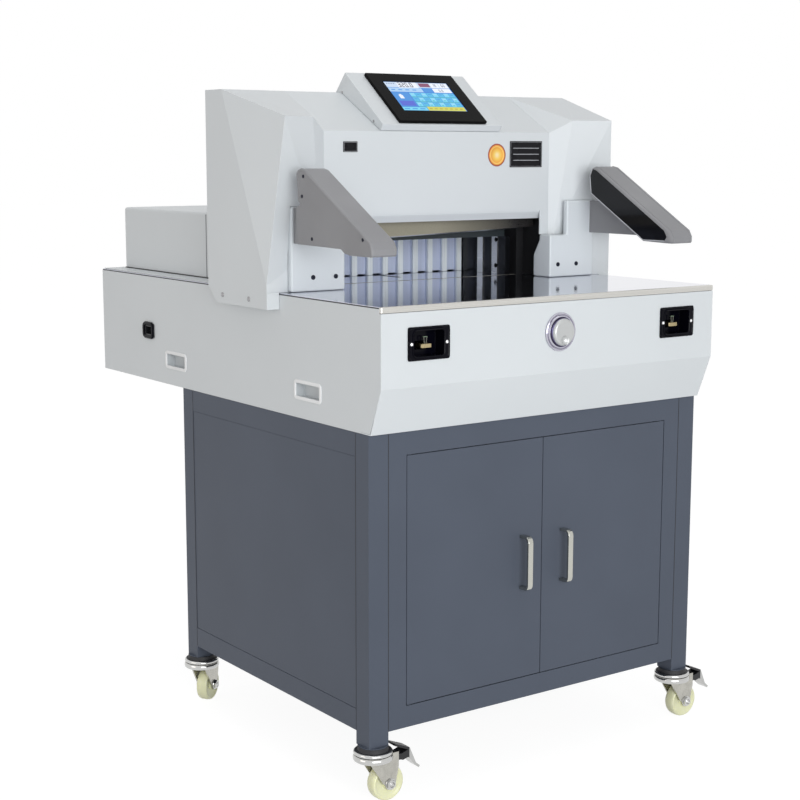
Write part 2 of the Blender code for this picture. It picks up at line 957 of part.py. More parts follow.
def screw_bore(front, back):
    """The lead screw's clearance hole between two depths."""
    return rod(screw_radius + seat_gap, (0, 0, screw_z), (0, 1, 0), (front, back))


# Table


def make_table():
    edge_low = table_top - table_edge + seat_gap
    inner = deck_half - deck_sheet - seat_gap * 2
    low = table_top - table_thickness
    outline = [
        (-table_half, table_top), (table_half, table_top), (table_half, edge_low), (inner, edge_low),
        (inner, low), (-inner, low), (-inner, edge_low), (-table_half, edge_low),
    ]
    down = (low - overrun, table_top + overrun)
    half_stick = stick_length / 2 + seat_gap
    stick_y = (cut_line - stick_width / 2 - seat_gap, cut_line + stick_width / 2 + seat_gap)
    slot_half = neck_half + slot_clearance
    slot_y = (
        neck_front - gauge_front_travel - slot_clearance,
        neck_front + neck_depth + gauge_back_travel + slot_clearance,
    )
    frames = [
        block(
            pair(side, frame_inner - seat_gap, frame_outer + seat_gap),
            (frame_front - seat_gap, frame_back + seat_gap),
            down,
        )
        for side in (-1, 1)
    ]
    node(
        "table_plate",
        prism(outline, "Y", (nosing_depth + seat_gap, table_back)),
        table_steel,
        cut=[
            joined(frames),
            block((-half_stick, half_stick), stick_y, (table_top - stick_depth, table_top + overrun)),
            block((-slot_half, slot_half), slot_y, down),
        ],
    )
    nosing_low = table_top - nosing_height + seat_gap
    node(
        "table_nosing",
        block((-deck_half, deck_half), (0, nosing_depth), (nosing_low, table_top)),
        stainless,
        bevel=nosing_bevel,
    )
    node(
        "cutting_stick",
        block(
            (-stick_length / 2, stick_length / 2),
            (cut_line - stick_width / 2, cut_line + stick_width / 2),
            (table_top - stick_depth + seat_gap, table_top - seat_gap),
        ),
        stick_cream,
    )


# Upright covers, brackets and photocell arms


def cover_corner(side, name):
    share = cover_shares[name]
    x = cover_inner + share[0] * (cover_outer - cover_inner)
    y = cover_nose + share[1] * (cover_back - cover_nose)
    z = table_top + seat_gap + share[2] * cover_height
    return (side * x, y, z)


def cover_shape(side, wall=0):
    """The faceted upright casing as a closed polyhedron, or its hollow when a wall thickness is given."""
    top = table_top + seat_gap + cover_height
    low = table_top + seat_gap
    elbow = low + cover_elbow_share * cover_height
    inner = side * cover_inner
    outer = side * cover_outer
    points = {name: cover_corner(side, name) for name in cover_shares}
    points["eave"] = (inner, head_front, table_top + eave_height)
    points["gable"] = (inner, ridge_y, top)
    points["back_outer"] = (outer, cover_back, top)
    points["back_inner"] = (inner, cover_back, top)
    points["foot_inner"] = (inner, head_front, low)
    points["foot_chin"] = (points["chin_inner"][0], points["chin_inner"][1], low)
    points["foot_outer"] = (outer, flap_front, low)
    points["elbow"] = (outer, flap_front, elbow)
    points["foot_back_outer"] = (outer, cover_back, low)
    points["foot_back_inner"] = (inner, cover_back, low)
    faces = (
        ("gable", "ridge_outer", "back_outer", "back_inner"),
        ("brow_inner", "brow_outer", "ridge_outer"),
        ("brow_inner", "ridge_outer", "gable"),
        ("eave", "brow_inner", "gable"),
        ("eave", "foot_inner", "foot_chin", "chin_inner", "brow_inner"),
        ("brow_inner", "chin_inner", "brow_outer"),
        ("brow_outer", "chin_inner", "elbow"),
        ("chin_inner", "foot_chin", "foot_outer"),
        ("chin_inner", "foot_outer", "elbow"),
        ("brow_outer", "elbow", "ridge_outer"),
        ("ridge_outer", "elbow", "foot_outer", "foot_back_outer", "back_outer"),
        ("back_outer", "foot_back_outer", "foot_back_inner", "back_inner"),
        ("gable", "back_inner", "foot_back_inner", "foot_inner", "eave"),
        ("foot_inner", "foot_back_inner", "foot_back_outer", "foot_outer", "foot_chin"),
    )
    size = Vector((cover_outer - cover_inner, cover_back - cover_nose, cover_height))
    middle = Vector((side * (cover_inner + cover_outer), cover_nose + cover_back, low + top)) / 2
    scale = Vector([1 - 2 * wall / length for length in size])
    shape = bmesh.new()
    made = {}
    for name, place in points.items():
        moved = (Vector(place) - middle) * scale + middle
        if wall and name.startswith("foot"):
            moved.z = low - overrun
        made[name] = shape.verts.new(moved)
    for names in faces:
        shape.faces.new([made[name] for name in names])
    bmesh.ops.recalc_face_normals(shape, faces=shape.faces)
    return shape


def make_cover(side, name):
    low = table_top + seat_gap
    flap_x = pair(side, deck_half + flap_gap, cover_outer)
    high = low + flap_lap
    flap = [
        (flap_front, high), (flap_front, low - flap_drop), (cover_back - flap_chamfer, low - flap_drop),
        (cover_back, low), (cover_back, high),
    ]
    recess_back = bracket_front + bracket_thickness + seat_gap
    step_low = table_top + bracket_low_height + seat_gap
    step_high = table_top + bracket_high_height + seat_gap
    recess_y = (cover_nose, recess_back)
    node(
        name,
        cover_shape(side),
        housing_white,
        add=[prism(flap, "X", flap_x)],
        cut=[
            block(pair(side, bracket_inner, bracket_outer + seat_gap), recess_y, (low - overrun, step_low)),
            block(pair(side, bracket_step - seat_gap, bracket_outer + seat_gap), recess_y, (low, step_high)),
            cover_shape(side, cover_wall),
        ],
    )


def make_bracket(side, name):
    low = table_top + seat_gap
    back = bracket_front + bracket_thickness
    step = table_top + bracket_low_height
    front = [
        (bracket_inner, low), (bracket_outer, low), (bracket_outer, table_top + bracket_high_height),
        (bracket_step, table_top + bracket_high_height), (bracket_step, step), (bracket_inner, step),
    ]
    shoulder_y = head_front - seat_gap
    side_view = [
        (bracket_front, low), (cheek_depth, low), (cheek_depth, table_top + cheek_upright),
        (shoulder_y, table_top + cheek_shoulder), (shoulder_y, step), (bracket_front, step),
    ]
    node(
        name,
        prism(mirrored(side, front), "Y", (bracket_front, back)),
        bracket_white,
        add=[prism(side_view, "X", pair(side, bracket_inner, cover_inner - seat_gap))],
    )


def make_arm(side, prefix):
    start = (arm_nose, table_top + arm_base_height)
    size = (arm_length, arm_height)
    band_inner = arm_inner + arm_window_thickness + seat_gap
    lug = block(
        pair(side, arm_lug_inner, arm_lug_outer),
        (bracket_front - arm_lug_reach, bracket_front - seat_gap),
        (table_top + arm_lug_low, table_top + arm_lug_high),
    )
    node(
        prefix + "_arm_housing",
        prism(from_shares(arm_band_shares, start, size), "X", pair(side, band_inner, arm_outer)),
        arm_grey,
        add=[
            prism(
                from_shares(arm_plate_shares, start, size),
                "X",
                pair(side, arm_outer - arm_plate_thickness, arm_outer + seat_gap),
            ),
            lug,
        ],
    )
    node(
        prefix + "_arm_window",
        prism(from_shares(arm_window_shares, start, size), "X", pair(side, arm_inner, band_inner - seat_gap)),
        gloss_black,
    )


# Head, console and hood


def head_outline():
    """The head's bent sheet in (y, z): front, slope, top and back, with the mouth's lip turned inwards."""
    top = table_top + seat_gap + cover_height
    foot = table_top + leg_foot
    mouth = table_top + mouth_height
    outer = [
        (head_front, foot), (head_front, table_top + eave_height), (ridge_y, top), (cover_back, top),
        (cover_back, table_top + head_back_height),
    ]
    inner = inset(outer, cover_sheet)
    wall_y = head_front + cover_sheet
    lean = math.atan2(lip_drop, lip_depth)
    root_rise = cover_sheet / math.cos(lean) - cover_sheet * math.tan(lean)
    lip_end = (head_front + lip_depth, mouth - lip_drop)
    return [
        *outer,
        (cover_back - cover_sheet, outer[-1][1]),
        *inner[3:0:-1],
        (wall_y, mouth + root_rise),
        (lip_end[0] + cover_sheet * math.sin(lean), lip_end[1] + cover_sheet * math.cos(lean)),
        lip_end,
        (wall_y, mouth - cover_sheet * math.tan(lean)),
        (wall_y, foot),
    ]


def make_head():
    half = head_half - leg_width
    node(
        "head_cover",
        prism(head_outline(), "X", (-head_half, head_half)),
        housing_white,
        cut=[
            block(
                (-half, half),
                (head_front - overrun, head_front + cover_sheet + seat_gap),
                (table_top, table_top + mouth_height),
            )
        ],
    )


def console_frame():
    """The sloped face's lower front corner, and its directions along and out of the face, in (y, z)."""
    tilt = math.radians(console_tilt)
    corner = Vector((console_front, table_top + console_low_height))
    return corner, Vector((math.cos(tilt), math.sin(tilt))), Vector((-math.sin(tilt), math.cos(tilt)))


def make_console():
    corner, along, out = console_frame()
    top = table_top + seat_gap * 2 + cover_height
    eave = table_top + eave_height
    slope = (cover_height + seat_gap - eave_height) / (ridge_y - head_front)
    lift = seat_gap * 2
    lip_y = head_front + lift
    lip = (lip_y, eave + lift + slope * lift)
    upper = corner + along * console_slope_length
    outline = [
        tuple(corner), tuple(upper), (console_back, top), (ridge_y - lift * slope / 2, top), lip,
    ]
    walls = inset(outline, console_wall)
    rear_way = (Vector(outline[2]) - Vector(outline[1])).normalized() * overrun * 2
    front_way = (Vector(lip) - corner).normalized() * overrun * 2
    hollow = [
        walls[0], walls[1], tuple(Vector(walls[2]) + rear_way), (ridge_y, top - overrun),
        tuple(Vector(walls[4]) + front_way),
    ]
    cutout = tilted_block(
        (-panel_back_width / 2 - slide_gap, panel_back_width / 2 + slide_gap),
        panel_span(panel_back_height + slide_gap * 2),
        (-overrun, overrun),
    )
    node(
        "console_housing",
        prism(outline, "X", (-console_half, console_half)),
        housing_white,
        cut=[prism(hollow, "X", (-console_half + console_wall, console_half - console_wall)), cutout],
    )


def panel_span(length):
    """A span along the console's face, centred on the bezel."""
    middle = bezel_offset + bezel_height / 2
    return (middle - length / 2, middle + length / 2)


def tilted_block(x, along, out):
    """A box laid on the console's face: x across, along its slope and out of it."""
    corner, along_way, out_way = console_frame()
    shape = block(x, along, out)
    for vertex in shape.verts:
        place = corner + along_way * vertex.co.y + out_way * vertex.co.z
        vertex.co = (vertex.co.x, place.x, place.y)
    bmesh.ops.recalc_face_normals(shape, faces=shape.faces)
    return shape


def make_touch_panel():
    half = bezel_width / 2
    back_half = panel_back_width / 2
    node(
        "touch_panel",
        tilted_block((-half, half), panel_span(bezel_height), (seat_gap, seat_gap + bezel_rise)),
        gloss_black,
        add=[
            tilted_block(
                (-back_half, back_half),
                panel_span(panel_back_height),
                (-panel_back_depth, seat_gap + bezel_rise / 2),
            )
        ],
        cut=[
            tilted_block(
                (-screen_width / 2, screen_width / 2),
                (screen_offset, screen_offset + screen_height),
                (seat_gap + bezel_rise - screen_recess, bezel_rise + overrun),
            )
        ],
    )


def hood_shape(half, front, back, low, high, corner, brow):
    """A box rounded down its rear corners by one radius and over its top edges by another."""
    shape = block((-half, half), (front, back), (low, high))
    uprights = [edge for edge in shape.edges if all(abs(end.co.y - back) < seat_gap for end in edge.verts)]
    uprights = [edge for edge in uprights if abs(edge.verts[0].co.z - edge.verts[1].co.z) > corner]
    bmesh.ops.bevel(shape, geom=uprights, offset=corner, segments=corner_steps, profile=0.5, affect="EDGES")
    crown = [edge for edge in shape.edges if all(abs(end.co.z - high) < seat_gap for end in edge.verts)]
    crown = [edge for edge in crown if any(end.co.y > front + seat_gap for end in edge.verts)]
    bmesh.ops.bevel(shape, geom=crown, offset=brow, segments=corner_steps, profile=0.5, affect="EDGES")
    return shape


def make_hood():
    low = table_top + seat_gap
    high = low + hood_height
    node(
        "rear_hood",
        hood_shape(hood_half, hood_front, hood_back, low, high, hood_round, hood_brow),
        housing_white,
        add=[block((-hood_flange_half, hood_flange_half), (hood_front, hood_back), (low, low + hood_flange))],
        cut=[
            hood_shape(
                hood_half - hood_wall,
                hood_front - overrun,
                hood_back - hood_wall,
                low - overrun,
                high - hood_wall,
                hood_round - hood_wall,
                hood_brow - hood_wall,
            )
        ],
        smooth=True,
    )


# Frame, knife and clamp


def make_side_frame(side, name):
    low = deck_z + base_thickness + seat_gap
    outline = [
        (frame_front, low), (frame_back, low), (frame_back, table_top + frame_top_height),
        (frame_shoulder_y, table_top + frame_top_height), (frame_front, table_top + frame_shoulder_height),
    ]
    cuts = []
    if side < 0:
        cuts.append(
            block(
                (-pivot_x - groove_width / 2, -pivot_x + groove_width / 2),
                (frame_front - overrun, frame_front + groove_depth),
                (table_top + seat_gap, table_top + groove_top_height),
            )
        )
    lap = frame_outer - guard_lap
    lap_y = frame_front + guard_lap
    guard = [
        (lap, lap_y), (lap, frame_back), (guard_outer, frame_back), (guard_outer, guard_front),
        (guard_inner, guard_front), (guard_inner, lap_y),
    ]
    guard_z = (table_top + seat_gap, table_top + guard_height)
    node(
        name,
        prism(outline, "X", pair(side, frame_inner, frame_outer)),
        cast_grey,
        add=[prism(mirrored(side, guard), "Z", guard_z)],
        cut=cuts,
    )


def make_knife():
    pivot = (-pivot_x, beam_back, table_top + pivot_height)
    edge = table_top + edge_rest_height
    groove_back = frame_front + groove_depth - seat_gap
    block_low = table_top + slide_block_low
    beam_top = table_top + beam_top_height
    cap_low = beam_top + slide_cap_gap
    cap_high = cap_low + slide_cap_height
    half = slide_block_width / 2
    rod_y = beam_back - knife_rod_setback
    rod_top = table_top + knife_barrel_top - barrel_end - knife_rod_room
    carriage = node(
        "knife_slide_block",
        block((-pivot_x - half, -pivot_x + half), (beam_back + seat_gap, groove_back), (block_low, cap_high)),
        zinc,
        pivot=pivot,
        add=[
            block(
                (-pivot_x - half, -pivot_x + half),
                (rod_y - knife_rod_radius, beam_back + knife_rod_radius),
                (cap_low, cap_high),
            ),
            rod(knife_rod_radius, (-pivot_x, rod_y, 0), (0, 0, 1), (cap_low, rod_top)),
            rod(pivot_pin_radius, pivot, (0, 1, 0), (beam_front - beam_back + seat_gap, slide_block_width)),
        ],
        smooth=True,
    )
    beam = node(
        "knife_beam",
        block((-beam_half, beam_half), (beam_front, beam_back), (edge + blade_cover, beam_top)),
        beam_steel,
        pivot=pivot,
        parent=carriage,
        cut=[rod(pivot_pin_radius + seat_gap, pivot, (0, 1, 0), (beam_front - beam_back - overrun, overrun))],
    )
    beam.rotation_euler.y = -swing
    profile = [
        (blade_back, edge), (blade_back, edge + blade_height), (beam_back + seat_gap, edge + blade_height),
        (beam_back + seat_gap, edge + blade_bevel_height),
    ]
    node("knife_blade", prism(profile, "X", (-blade_half, blade_half)), blade_steel, pivot=pivot, parent=beam)


def make_clamp():
    back = clamp_front + clamp_depth
    rest = table_top + clamp_rest_height
    ear = table_top + clamp_ear_height
    high = table_top + clamp_top_height
    outline = [
        (-clamp_half, rest), (clamp_half, rest), (clamp_half, ear), (clamp_ear_half, ear),
        (clamp_ear_half, high), (-clamp_ear_half, high), (-clamp_ear_half, ear), (-clamp_half, ear),
    ]
    half = tooth_width / 2 + tooth_clearance
    slot_y = (back - tooth_depth - seat_gap * 2, back + overrun)
    slots = [block((x - half, x + half), slot_y, (rest - overrun, high + overrun)) for x in tooth_places()]
    middle = clamp_front + clamp_depth / 2
    rod_top = table_top + clamp_barrel_top - barrel_end - clamp_rod_room
    node(
        "clamp_beam",
        prism(outline, "Y", (clamp_front, back)),
        clamp_grey,
        pivot=(0, middle, rest),
        add=[rod(clamp_rod_radius, (0, middle, 0), (0, 0, 1), (high - overrun, rod_top))],
        cut=[joined(slots)],
    )


def tooth_places():
    return [(i - (tooth_count - 1) / 2) * tooth_pitch for i in range(tooth_count)]


def make_cylinder(name, place, radius, rod_radius, span, add=()):
    """A closed barrel around a rod that enters it from below."""
    low, high = span
    node(
        name,
        rod(radius, place, (0, 0, 1), span, round_steps),
        cast_grey,
        add=add,
        cut=[rod(rod_radius + seat_gap, place, (0, 0, 1), (low - overrun, high - barrel_end))],
        smooth=True,
    )


def make_cylinders():
    middle = clamp_front + clamp_depth / 2
    bar_front = middle - clamp_depth / 4
    bar_low = table_top + clamp_barrel_top - overrun
    crossbar = block(
        (-frame_inner + seat_gap, frame_inner - seat_gap),
        (bar_front, bar_front + crossbar_depth),
        (bar_low, bar_low + crossbar_thickness),
    )
    span = (table_top + clamp_barrel_low, table_top + clamp_barrel_top)
    make_cylinder("clamp_cylinder", (0, middle, 0), clamp_barrel_radius, clamp_rod_radius, span, [crossbar])
    place = (-pivot_x, beam_back - knife_rod_setback, 0)
    span = (table_top + knife_barrel_low, table_top + knife_barrel_top)
    make_cylinder("knife_cylinder", place, knife_barrel_radius, knife_rod_radius, span)


# Back gauge and its drive


def make_gauge():
    back = gauge_plane + gauge_wall
    low = table_top + gauge_raise
    high = table_top + gauge_top_height
    foot_back = back + gauge_foot_depth
    foot_low = table_top + gauge_foot_gap
    foot_high = foot_low + gauge_foot_thickness
    teeth = [
        block(
            (x - tooth_width / 2, x + tooth_width / 2),
            (gauge_front, gauge_plane + gauge_wall / 2),
            (table_top + slide_gap, high),
        )
        for x in tooth_places()
    ]
    root = back - gauge_wall / 2
    gusset = [(root, foot_low), (foot_back - overrun, foot_low), (root, foot_low + gusset_height)]
    gusset_x = (gusset_place - gusset_thickness / 2, gusset_place + gusset_thickness / 2)
    gussets = [prism(gusset, "X", pair(side, *gusset_x)) for side in (-1, 1)]
    nut_z = (screw_z - nut_half, screw_z + nut_half)
    node(
        "back_gauge",
        block((-gauge_half, gauge_half), (gauge_plane, back), (low, high)),
        gauge_alloy,
        pivot=(0, gauge_front, table_top),
        add=[
            joined(teeth),
            block((-gauge_foot_half, gauge_foot_half), (root, foot_back), (foot_low, foot_high)),
            joined(gussets),
            block(
                (-neck_half, neck_half),
                (neck_front, neck_front + neck_depth),
                (screw_z, (foot_low + foot_high) / 2),
            ),
            block((-nut_half, nut_half), (nut_front, nut_front + nut_depth), nut_z),
        ],
        cut=[screw_bore(nut_front - overrun, nut_front + nut_depth + overrun)],
    )
    node(
        "lead_screw",
        rod(screw_radius, (0, 0, screw_z), (0, 1, 0), (screw_front, screw_back), small_steps),
        stainless,
        pivot=(0, screw_front, screw_z),
        smooth=True,
    )
    base = deck_z + base_thickness + seat_gap
    node(
        "gauge_motor",
        block(
            (-motor_half, motor_half), (motor_front, motor_front + motor_depth), (base, screw_z + motor_rise)
        ),
        motor_black,
        cut=[screw_bore(motor_front - overrun, motor_front + motor_bore_depth)],
    )


def make_side_gauge(side, name):
    low = table_top + seat_gap
    high = low + side_gauge_height
    length = side_gauge_back - side_gauge_front
    ribs = []
    for share in side_rib_shares:
        y = side_gauge_front + share * length
        ribs.append(
            block(
                pair(side, side_gauge_inner - side_rib_rise, side_gauge_inner + side_gauge_thickness / 2),
                (y - side_rib_width / 2, y + side_rib_width / 2),
                (low, high),
            )
        )
    hole_y = side_gauge_front + side_hole_place
    holes = [
        rod(
            side_hole_radius,
            (0, hole_y, low + share * side_gauge_height),
            (1, 0, 0),
            pair(side, side_gauge_inner - overrun, side_gauge_inner + side_gauge_thickness + overrun),
        )
        for share in side_hole_shares
    ]
    node(
        name,
        block(
            pair(side, side_gauge_inner, side_gauge_inner + side_gauge_thickness),
            (side_gauge_front, side_gauge_back),
            (low, high),
        ),
        stainless,
        add=[joined(ribs)],
        cut=[joined(holes)],
    )


# Front controls and side fittings


def make_well(side, prefix):
    x = side * well_place
    z = deck_z + control_height
    half_x = well_body_width / 2
    half_z = well_body_height / 2
    button_half_x = button_width / 2
    button_half_z = button_height / 2
    back = well_depth
    button_z = z - button_drop
    flange = rounded((x, z), (well_width / 2, well_height / 2), well_round)
    pocket_x = half_x - well_wall
    pocket_z = half_z - well_wall
    node(
        prefix + "_button_well",
        prism(flange, "Y", (-seat_gap - well_flange, -seat_gap)),
        well_black,
        add=[block((x - half_x, x + half_x), (-seat_gap - well_flange / 2, back), (z - half_z, z + half_z))],
        cut=[
            block((x - pocket_x, x + pocket_x), (-overrun, back - well_wall), (z - pocket_z, z + pocket_z)),
            block(
                (x - button_half_x - slide_gap, x + button_half_x + slide_gap),
                (back - well_wall - overrun, back + overrun),
                (button_z - button_half_z - slide_gap, button_z + button_half_z + slide_gap),
            ),
        ],
    )
    front = back - well_wall - button_rise
    node(
        prefix + "_cut_button",
        block(
            (x - button_half_x, x + button_half_x),
            (front, back + button_tail),
            (button_z - button_half_z, button_z + button_half_z),
        ),
        button_brass,
        pivot=(x, front, button_z),
        add=[
            block(
                (x - button_half_x - button_lip, x + button_half_x + button_lip),
                (back + seat_gap, back + seat_gap + button_lip),
                (button_z - button_half_z - button_lip, button_z + button_half_z + button_lip),
            )
        ],
    )


def make_jog():
    centre = (0, 0, deck_z + control_height)
    outward = (0, -1, 0)
    low = seat_gap
    ring = (
        (jog_bore_radius, low), (jog_radius, low), (jog_radius, low + jog_foot),
        (jog_shoulder_radius, low + jog_foot * 2), (jog_shoulder_radius, jog_height - jog_foot / 2),
        (jog_shoulder_radius - jog_foot / 2, jog_height), (jog_bore_radius, jog_height),
    )
    node("jog_ring", turned(ring, centre, outward, round_steps * 2), chrome, smooth=True)
    knob = (
        (0, -jog_shaft_length), (jog_shaft_radius, -jog_shaft_length), (jog_shaft_radius, jog_knob_gap),
        (jog_knob_radius, jog_knob_gap), (jog_knob_radius, jog_knob_rise - jog_knob_bevel),
        (jog_knob_radius - jog_knob_bevel, jog_knob_rise), (0, jog_knob_rise),
    )
    bend_radius = jog_dimple_radius * jog_dimple_shares[0]
    bend_depth = jog_dimple_depth * jog_dimple_shares[1]
    dimple = (
        (0, jog_knob_rise - jog_dimple_depth), (bend_radius, jog_knob_rise - bend_depth),
        (jog_dimple_radius, jog_knob_rise), (jog_dimple_radius, jog_knob_rise + overrun),
        (0, jog_knob_rise + overrun),
    )
    dimple_centre = (0, 0, centre[2] - jog_dimple_place)
    node(
        "jog_knob",
        turned(knob, centre, outward, round_steps * 2),
        satin_aluminium,
        pivot=centre,
        cut=[turned(dimple, dimple_centre, outward, small_steps)],
        smooth=True,
    )


def make_inlet():
    z = deck_z + inlet_height
    face = -deck_half - seat_gap
    half_y = inlet_body_width / 2
    half_z = inlet_body_height / 2
    socket_y = inlet_socket_width / 2
    socket_z = inlet_socket_height / 2
    floor_x = -deck_half + inlet_socket_depth
    flange = rounded((inlet_y, z), (inlet_flange_width / 2, inlet_flange_height / 2), inlet_round)
    socket_span = (inlet_y - socket_y, inlet_y + socket_y)
    socket = block((face - overrun, floor_x), socket_span, (z - socket_z, z + socket_z))
    pins = []
    for place in (-inlet_pin_spread, 0, inlet_pin_spread):
        pins.append(
            block(
                (floor_x - inlet_pin_length, floor_x + inlet_pin_thickness),
                (inlet_y + place - inlet_pin_thickness / 2, inlet_y + place + inlet_pin_thickness / 2),
                (z - inlet_pin_width / 2, z + inlet_pin_width / 2),
            )
        )
    node(
        "power_inlet",
        prism(flange, "X", (face - inlet_flange, face)),
        well_black,
        add=[
            block(
                (face - inlet_flange / 2, -deck_half + inlet_depth),
                (inlet_y - half_y, inlet_y + half_y),
                (z - half_z, z + half_z),
            )
        ],
        cut=[socket],
        inside=[joined(pins)],
    )


def make_pump():
    base = deck_z + base_thickness + seat_gap
    tank_top = base + tank_height
    x = tank_inner + tank_width / 2
    y = tank_front + tank_depth / 2
    motor_centre = (x, y, tank_top + pump_radius / 2)
    node(
        "pump_unit",
        block((tank_inner, tank_inner + tank_width), (tank_front, tank_front + tank_depth), (base, tank_top)),
        motor_black,
        add=[rod(pump_radius, motor_centre, (0, 1, 0), (-pump_length / 2, pump_length / 2), round_steps)],
        smooth=True,
    )


clear_scene()
datum = bpy.data.objects.new("datum", None)
bpy.context.scene.collection.objects.link(datum)
datum.location = (-centre_x, -centre_y, 0)

housing_white = finish("housing_white", (0.66, 0.69, 0.71), 0.45, 0.0)
bracket_white = finish("bracket_white", (0.72, 0.75, 0.77), 0.45, 0.0)
cabinet_grey = finish("cabinet_grey", (0.095, 0.105, 0.125), 0.5, 0.0)
arm_grey = finish("arm_grey", (0.23, 0.23, 0.235), 0.5, 0.0)
gloss_black = finish("gloss_black", (0.01, 0.01, 0.012), 0.12, 0.0)
well_black = finish("well_black", (0.015, 0.016, 0.02), 0.35, 0.0)
chrome = finish("chrome", (0.75, 0.76, 0.78), 0.12, 1.0)
satin_aluminium = finish("satin_aluminium", (0.62, 0.63, 0.63), 0.35, 0.9)
stainless = finish("stainless", (0.62, 0.61, 0.58), 0.25, 1.0)
table_steel = finish("table_steel", (0.10, 0.10, 0.11), 0.15, 0.9)
gauge_alloy = finish("gauge_alloy", (0.55, 0.60, 0.70), 0.35, 0.5)
beam_steel = finish("beam_steel", (0.42, 0.39, 0.30), 0.4, 0.2)
blade_steel = finish("blade_steel", (0.45, 0.47, 0.50), 0.2, 1.0)
clamp_grey = finish("clamp_grey", (0.16, 0.19, 0.21), 0.4, 0.5)
cast_grey = finish("cast_grey", (0.05, 0.05, 0.055), 0.6, 0.3)
zinc = finish("zinc", (0.60, 0.60, 0.58), 0.3, 1.0)
wheel_cream = finish("wheel_cream", (0.72, 0.72, 0.48), 0.4, 0.0)
brake_black = finish("brake_black", (0.03, 0.03, 0.035), 0.4, 0.3)
motor_black = finish("motor_black", (0.04, 0.04, 0.045), 0.5, 0.2)
button_brass = finish("button_brass", (0.35, 0.28, 0.14), 0.3, 0.4)
stick_cream = finish("stick_cream", (0.70, 0.68, 0.58), 0.5, 0.0)

make_stand()
make_door(-1, "left_door")
make_door(1, "right_door")
for corner in swivel_axes:
    make_caster(corner, corner.startswith("front"))
make_deck_front()
make_deck_side(-1, "deck_left_side")
make_deck_side(1, "deck_right_side")
make_deck_rest()
make_table()
make_cover(-1, "left_upright_cover")
make_cover(1, "right_upright_cover")
make_bracket(-1, "left_bracket_block")
make_bracket(1, "right_bracket_block")
make_arm(-1, "left")
make_arm(1, "right")
make_head()
make_console()
make_touch_panel()
make_hood()
make_side_frame(-1, "left_side_frame")
make_side_frame(1, "right_side_frame")
make_knife()
make_clamp()
make_cylinders()
make_gauge()
make_side_gauge(-1, "left_side_gauge")
make_side_gauge(1, "right_side_gauge")
make_well(-1, "left")
make_well(1, "right")
make_jog()
make_inlet()
make_pump()
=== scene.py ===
"""Looks for the programmable paper cutter: materials, small fittings, lights and camera over the CAD frame.

Metres in the frame's axes: +Z up, +X right, the front faces -Y. The machine's mirror plane and deck
front lie off the origin, so fittings are placed from that plane, the deck's front face and the floor.
"""

import json
import math

import bmesh
import bpy
from mathutils import Matrix, Vector


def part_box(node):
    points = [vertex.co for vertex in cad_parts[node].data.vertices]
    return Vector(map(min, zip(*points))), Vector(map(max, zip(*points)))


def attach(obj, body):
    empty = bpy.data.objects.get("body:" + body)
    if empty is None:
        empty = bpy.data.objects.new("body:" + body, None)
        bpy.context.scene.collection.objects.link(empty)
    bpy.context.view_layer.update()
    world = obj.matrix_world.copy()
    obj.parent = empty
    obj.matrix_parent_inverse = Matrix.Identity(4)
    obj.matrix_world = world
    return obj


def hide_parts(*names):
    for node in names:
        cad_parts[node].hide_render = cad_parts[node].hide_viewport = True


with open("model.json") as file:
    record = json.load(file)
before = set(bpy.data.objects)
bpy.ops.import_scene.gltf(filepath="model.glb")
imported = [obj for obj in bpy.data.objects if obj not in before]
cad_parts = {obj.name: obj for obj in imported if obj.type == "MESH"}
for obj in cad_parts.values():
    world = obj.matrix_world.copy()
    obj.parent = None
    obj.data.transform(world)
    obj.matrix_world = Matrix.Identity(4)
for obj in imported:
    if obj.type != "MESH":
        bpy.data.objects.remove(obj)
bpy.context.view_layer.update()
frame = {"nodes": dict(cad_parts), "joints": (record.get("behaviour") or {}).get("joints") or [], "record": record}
nodes = frame["nodes"]

# The machine's mirror plane and deck front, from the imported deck
deck_low, deck_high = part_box("deck_front_panel")
MID = (deck_low.x + deck_high.x) / 2
FRONT = deck_low.y
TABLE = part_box("table_plate")[1].z


def at(x, y, z):
    """A place given from the mirror plane, the deck's front face and the floor."""
    return Vector((MID + x, FRONT + y, z))


# Places that several fittings share, measured as at() takes them
DECK_SIDE = 0.4055
CONTROL_HEIGHT = 0.8512
WELL_OFFSET = 0.3045
HEAD_FACE = 0.3677
SEAL_PLACE = at(0.1425, HEAD_FACE, 1.1755)


# Materials

# Depth of brushed lines, in metres
BRUSHED_DEPTH = 0.00002


def blank(name):
    made = bpy.data.materials.new(name)
    made.use_nodes = True
    tree = made.node_tree
    return made, tree, tree.nodes["Principled BSDF"]


def coords(tree, scale=(1, 1, 1)):
    """Object coordinates, which are the frame's metres, stretched by scale."""
    source = tree.nodes.new("ShaderNodeTexCoord")
    mapping = tree.nodes.new("ShaderNodeMapping")
    mapping.inputs["Scale"].default_value = scale
    tree.links.new(source.outputs["Object"], mapping.inputs["Vector"])
    return mapping.outputs["Vector"]


def noise(tree, vector, scale, detail=2.0, rough=0.5):
    made = tree.nodes.new("ShaderNodeTexNoise")
    made.inputs["Scale"].default_value = scale
    made.inputs["Detail"].default_value = detail
    made.inputs["Roughness"].default_value = rough
    tree.links.new(vector, made.inputs["Vector"])
    return made.outputs["Fac"]


def spread(tree, value, low, high, start=0.3, end=0.7):
    """A value from 0 to 1 spread between low and high."""
    made = tree.nodes.new("ShaderNodeMapRange")
    made.inputs["From Min"].default_value = start
    made.inputs["From Max"].default_value = end
    made.inputs["To Min"].default_value = low
    made.inputs["To Max"].default_value = high
    tree.links.new(value, made.inputs["Value"])
    return made.outputs["Result"]


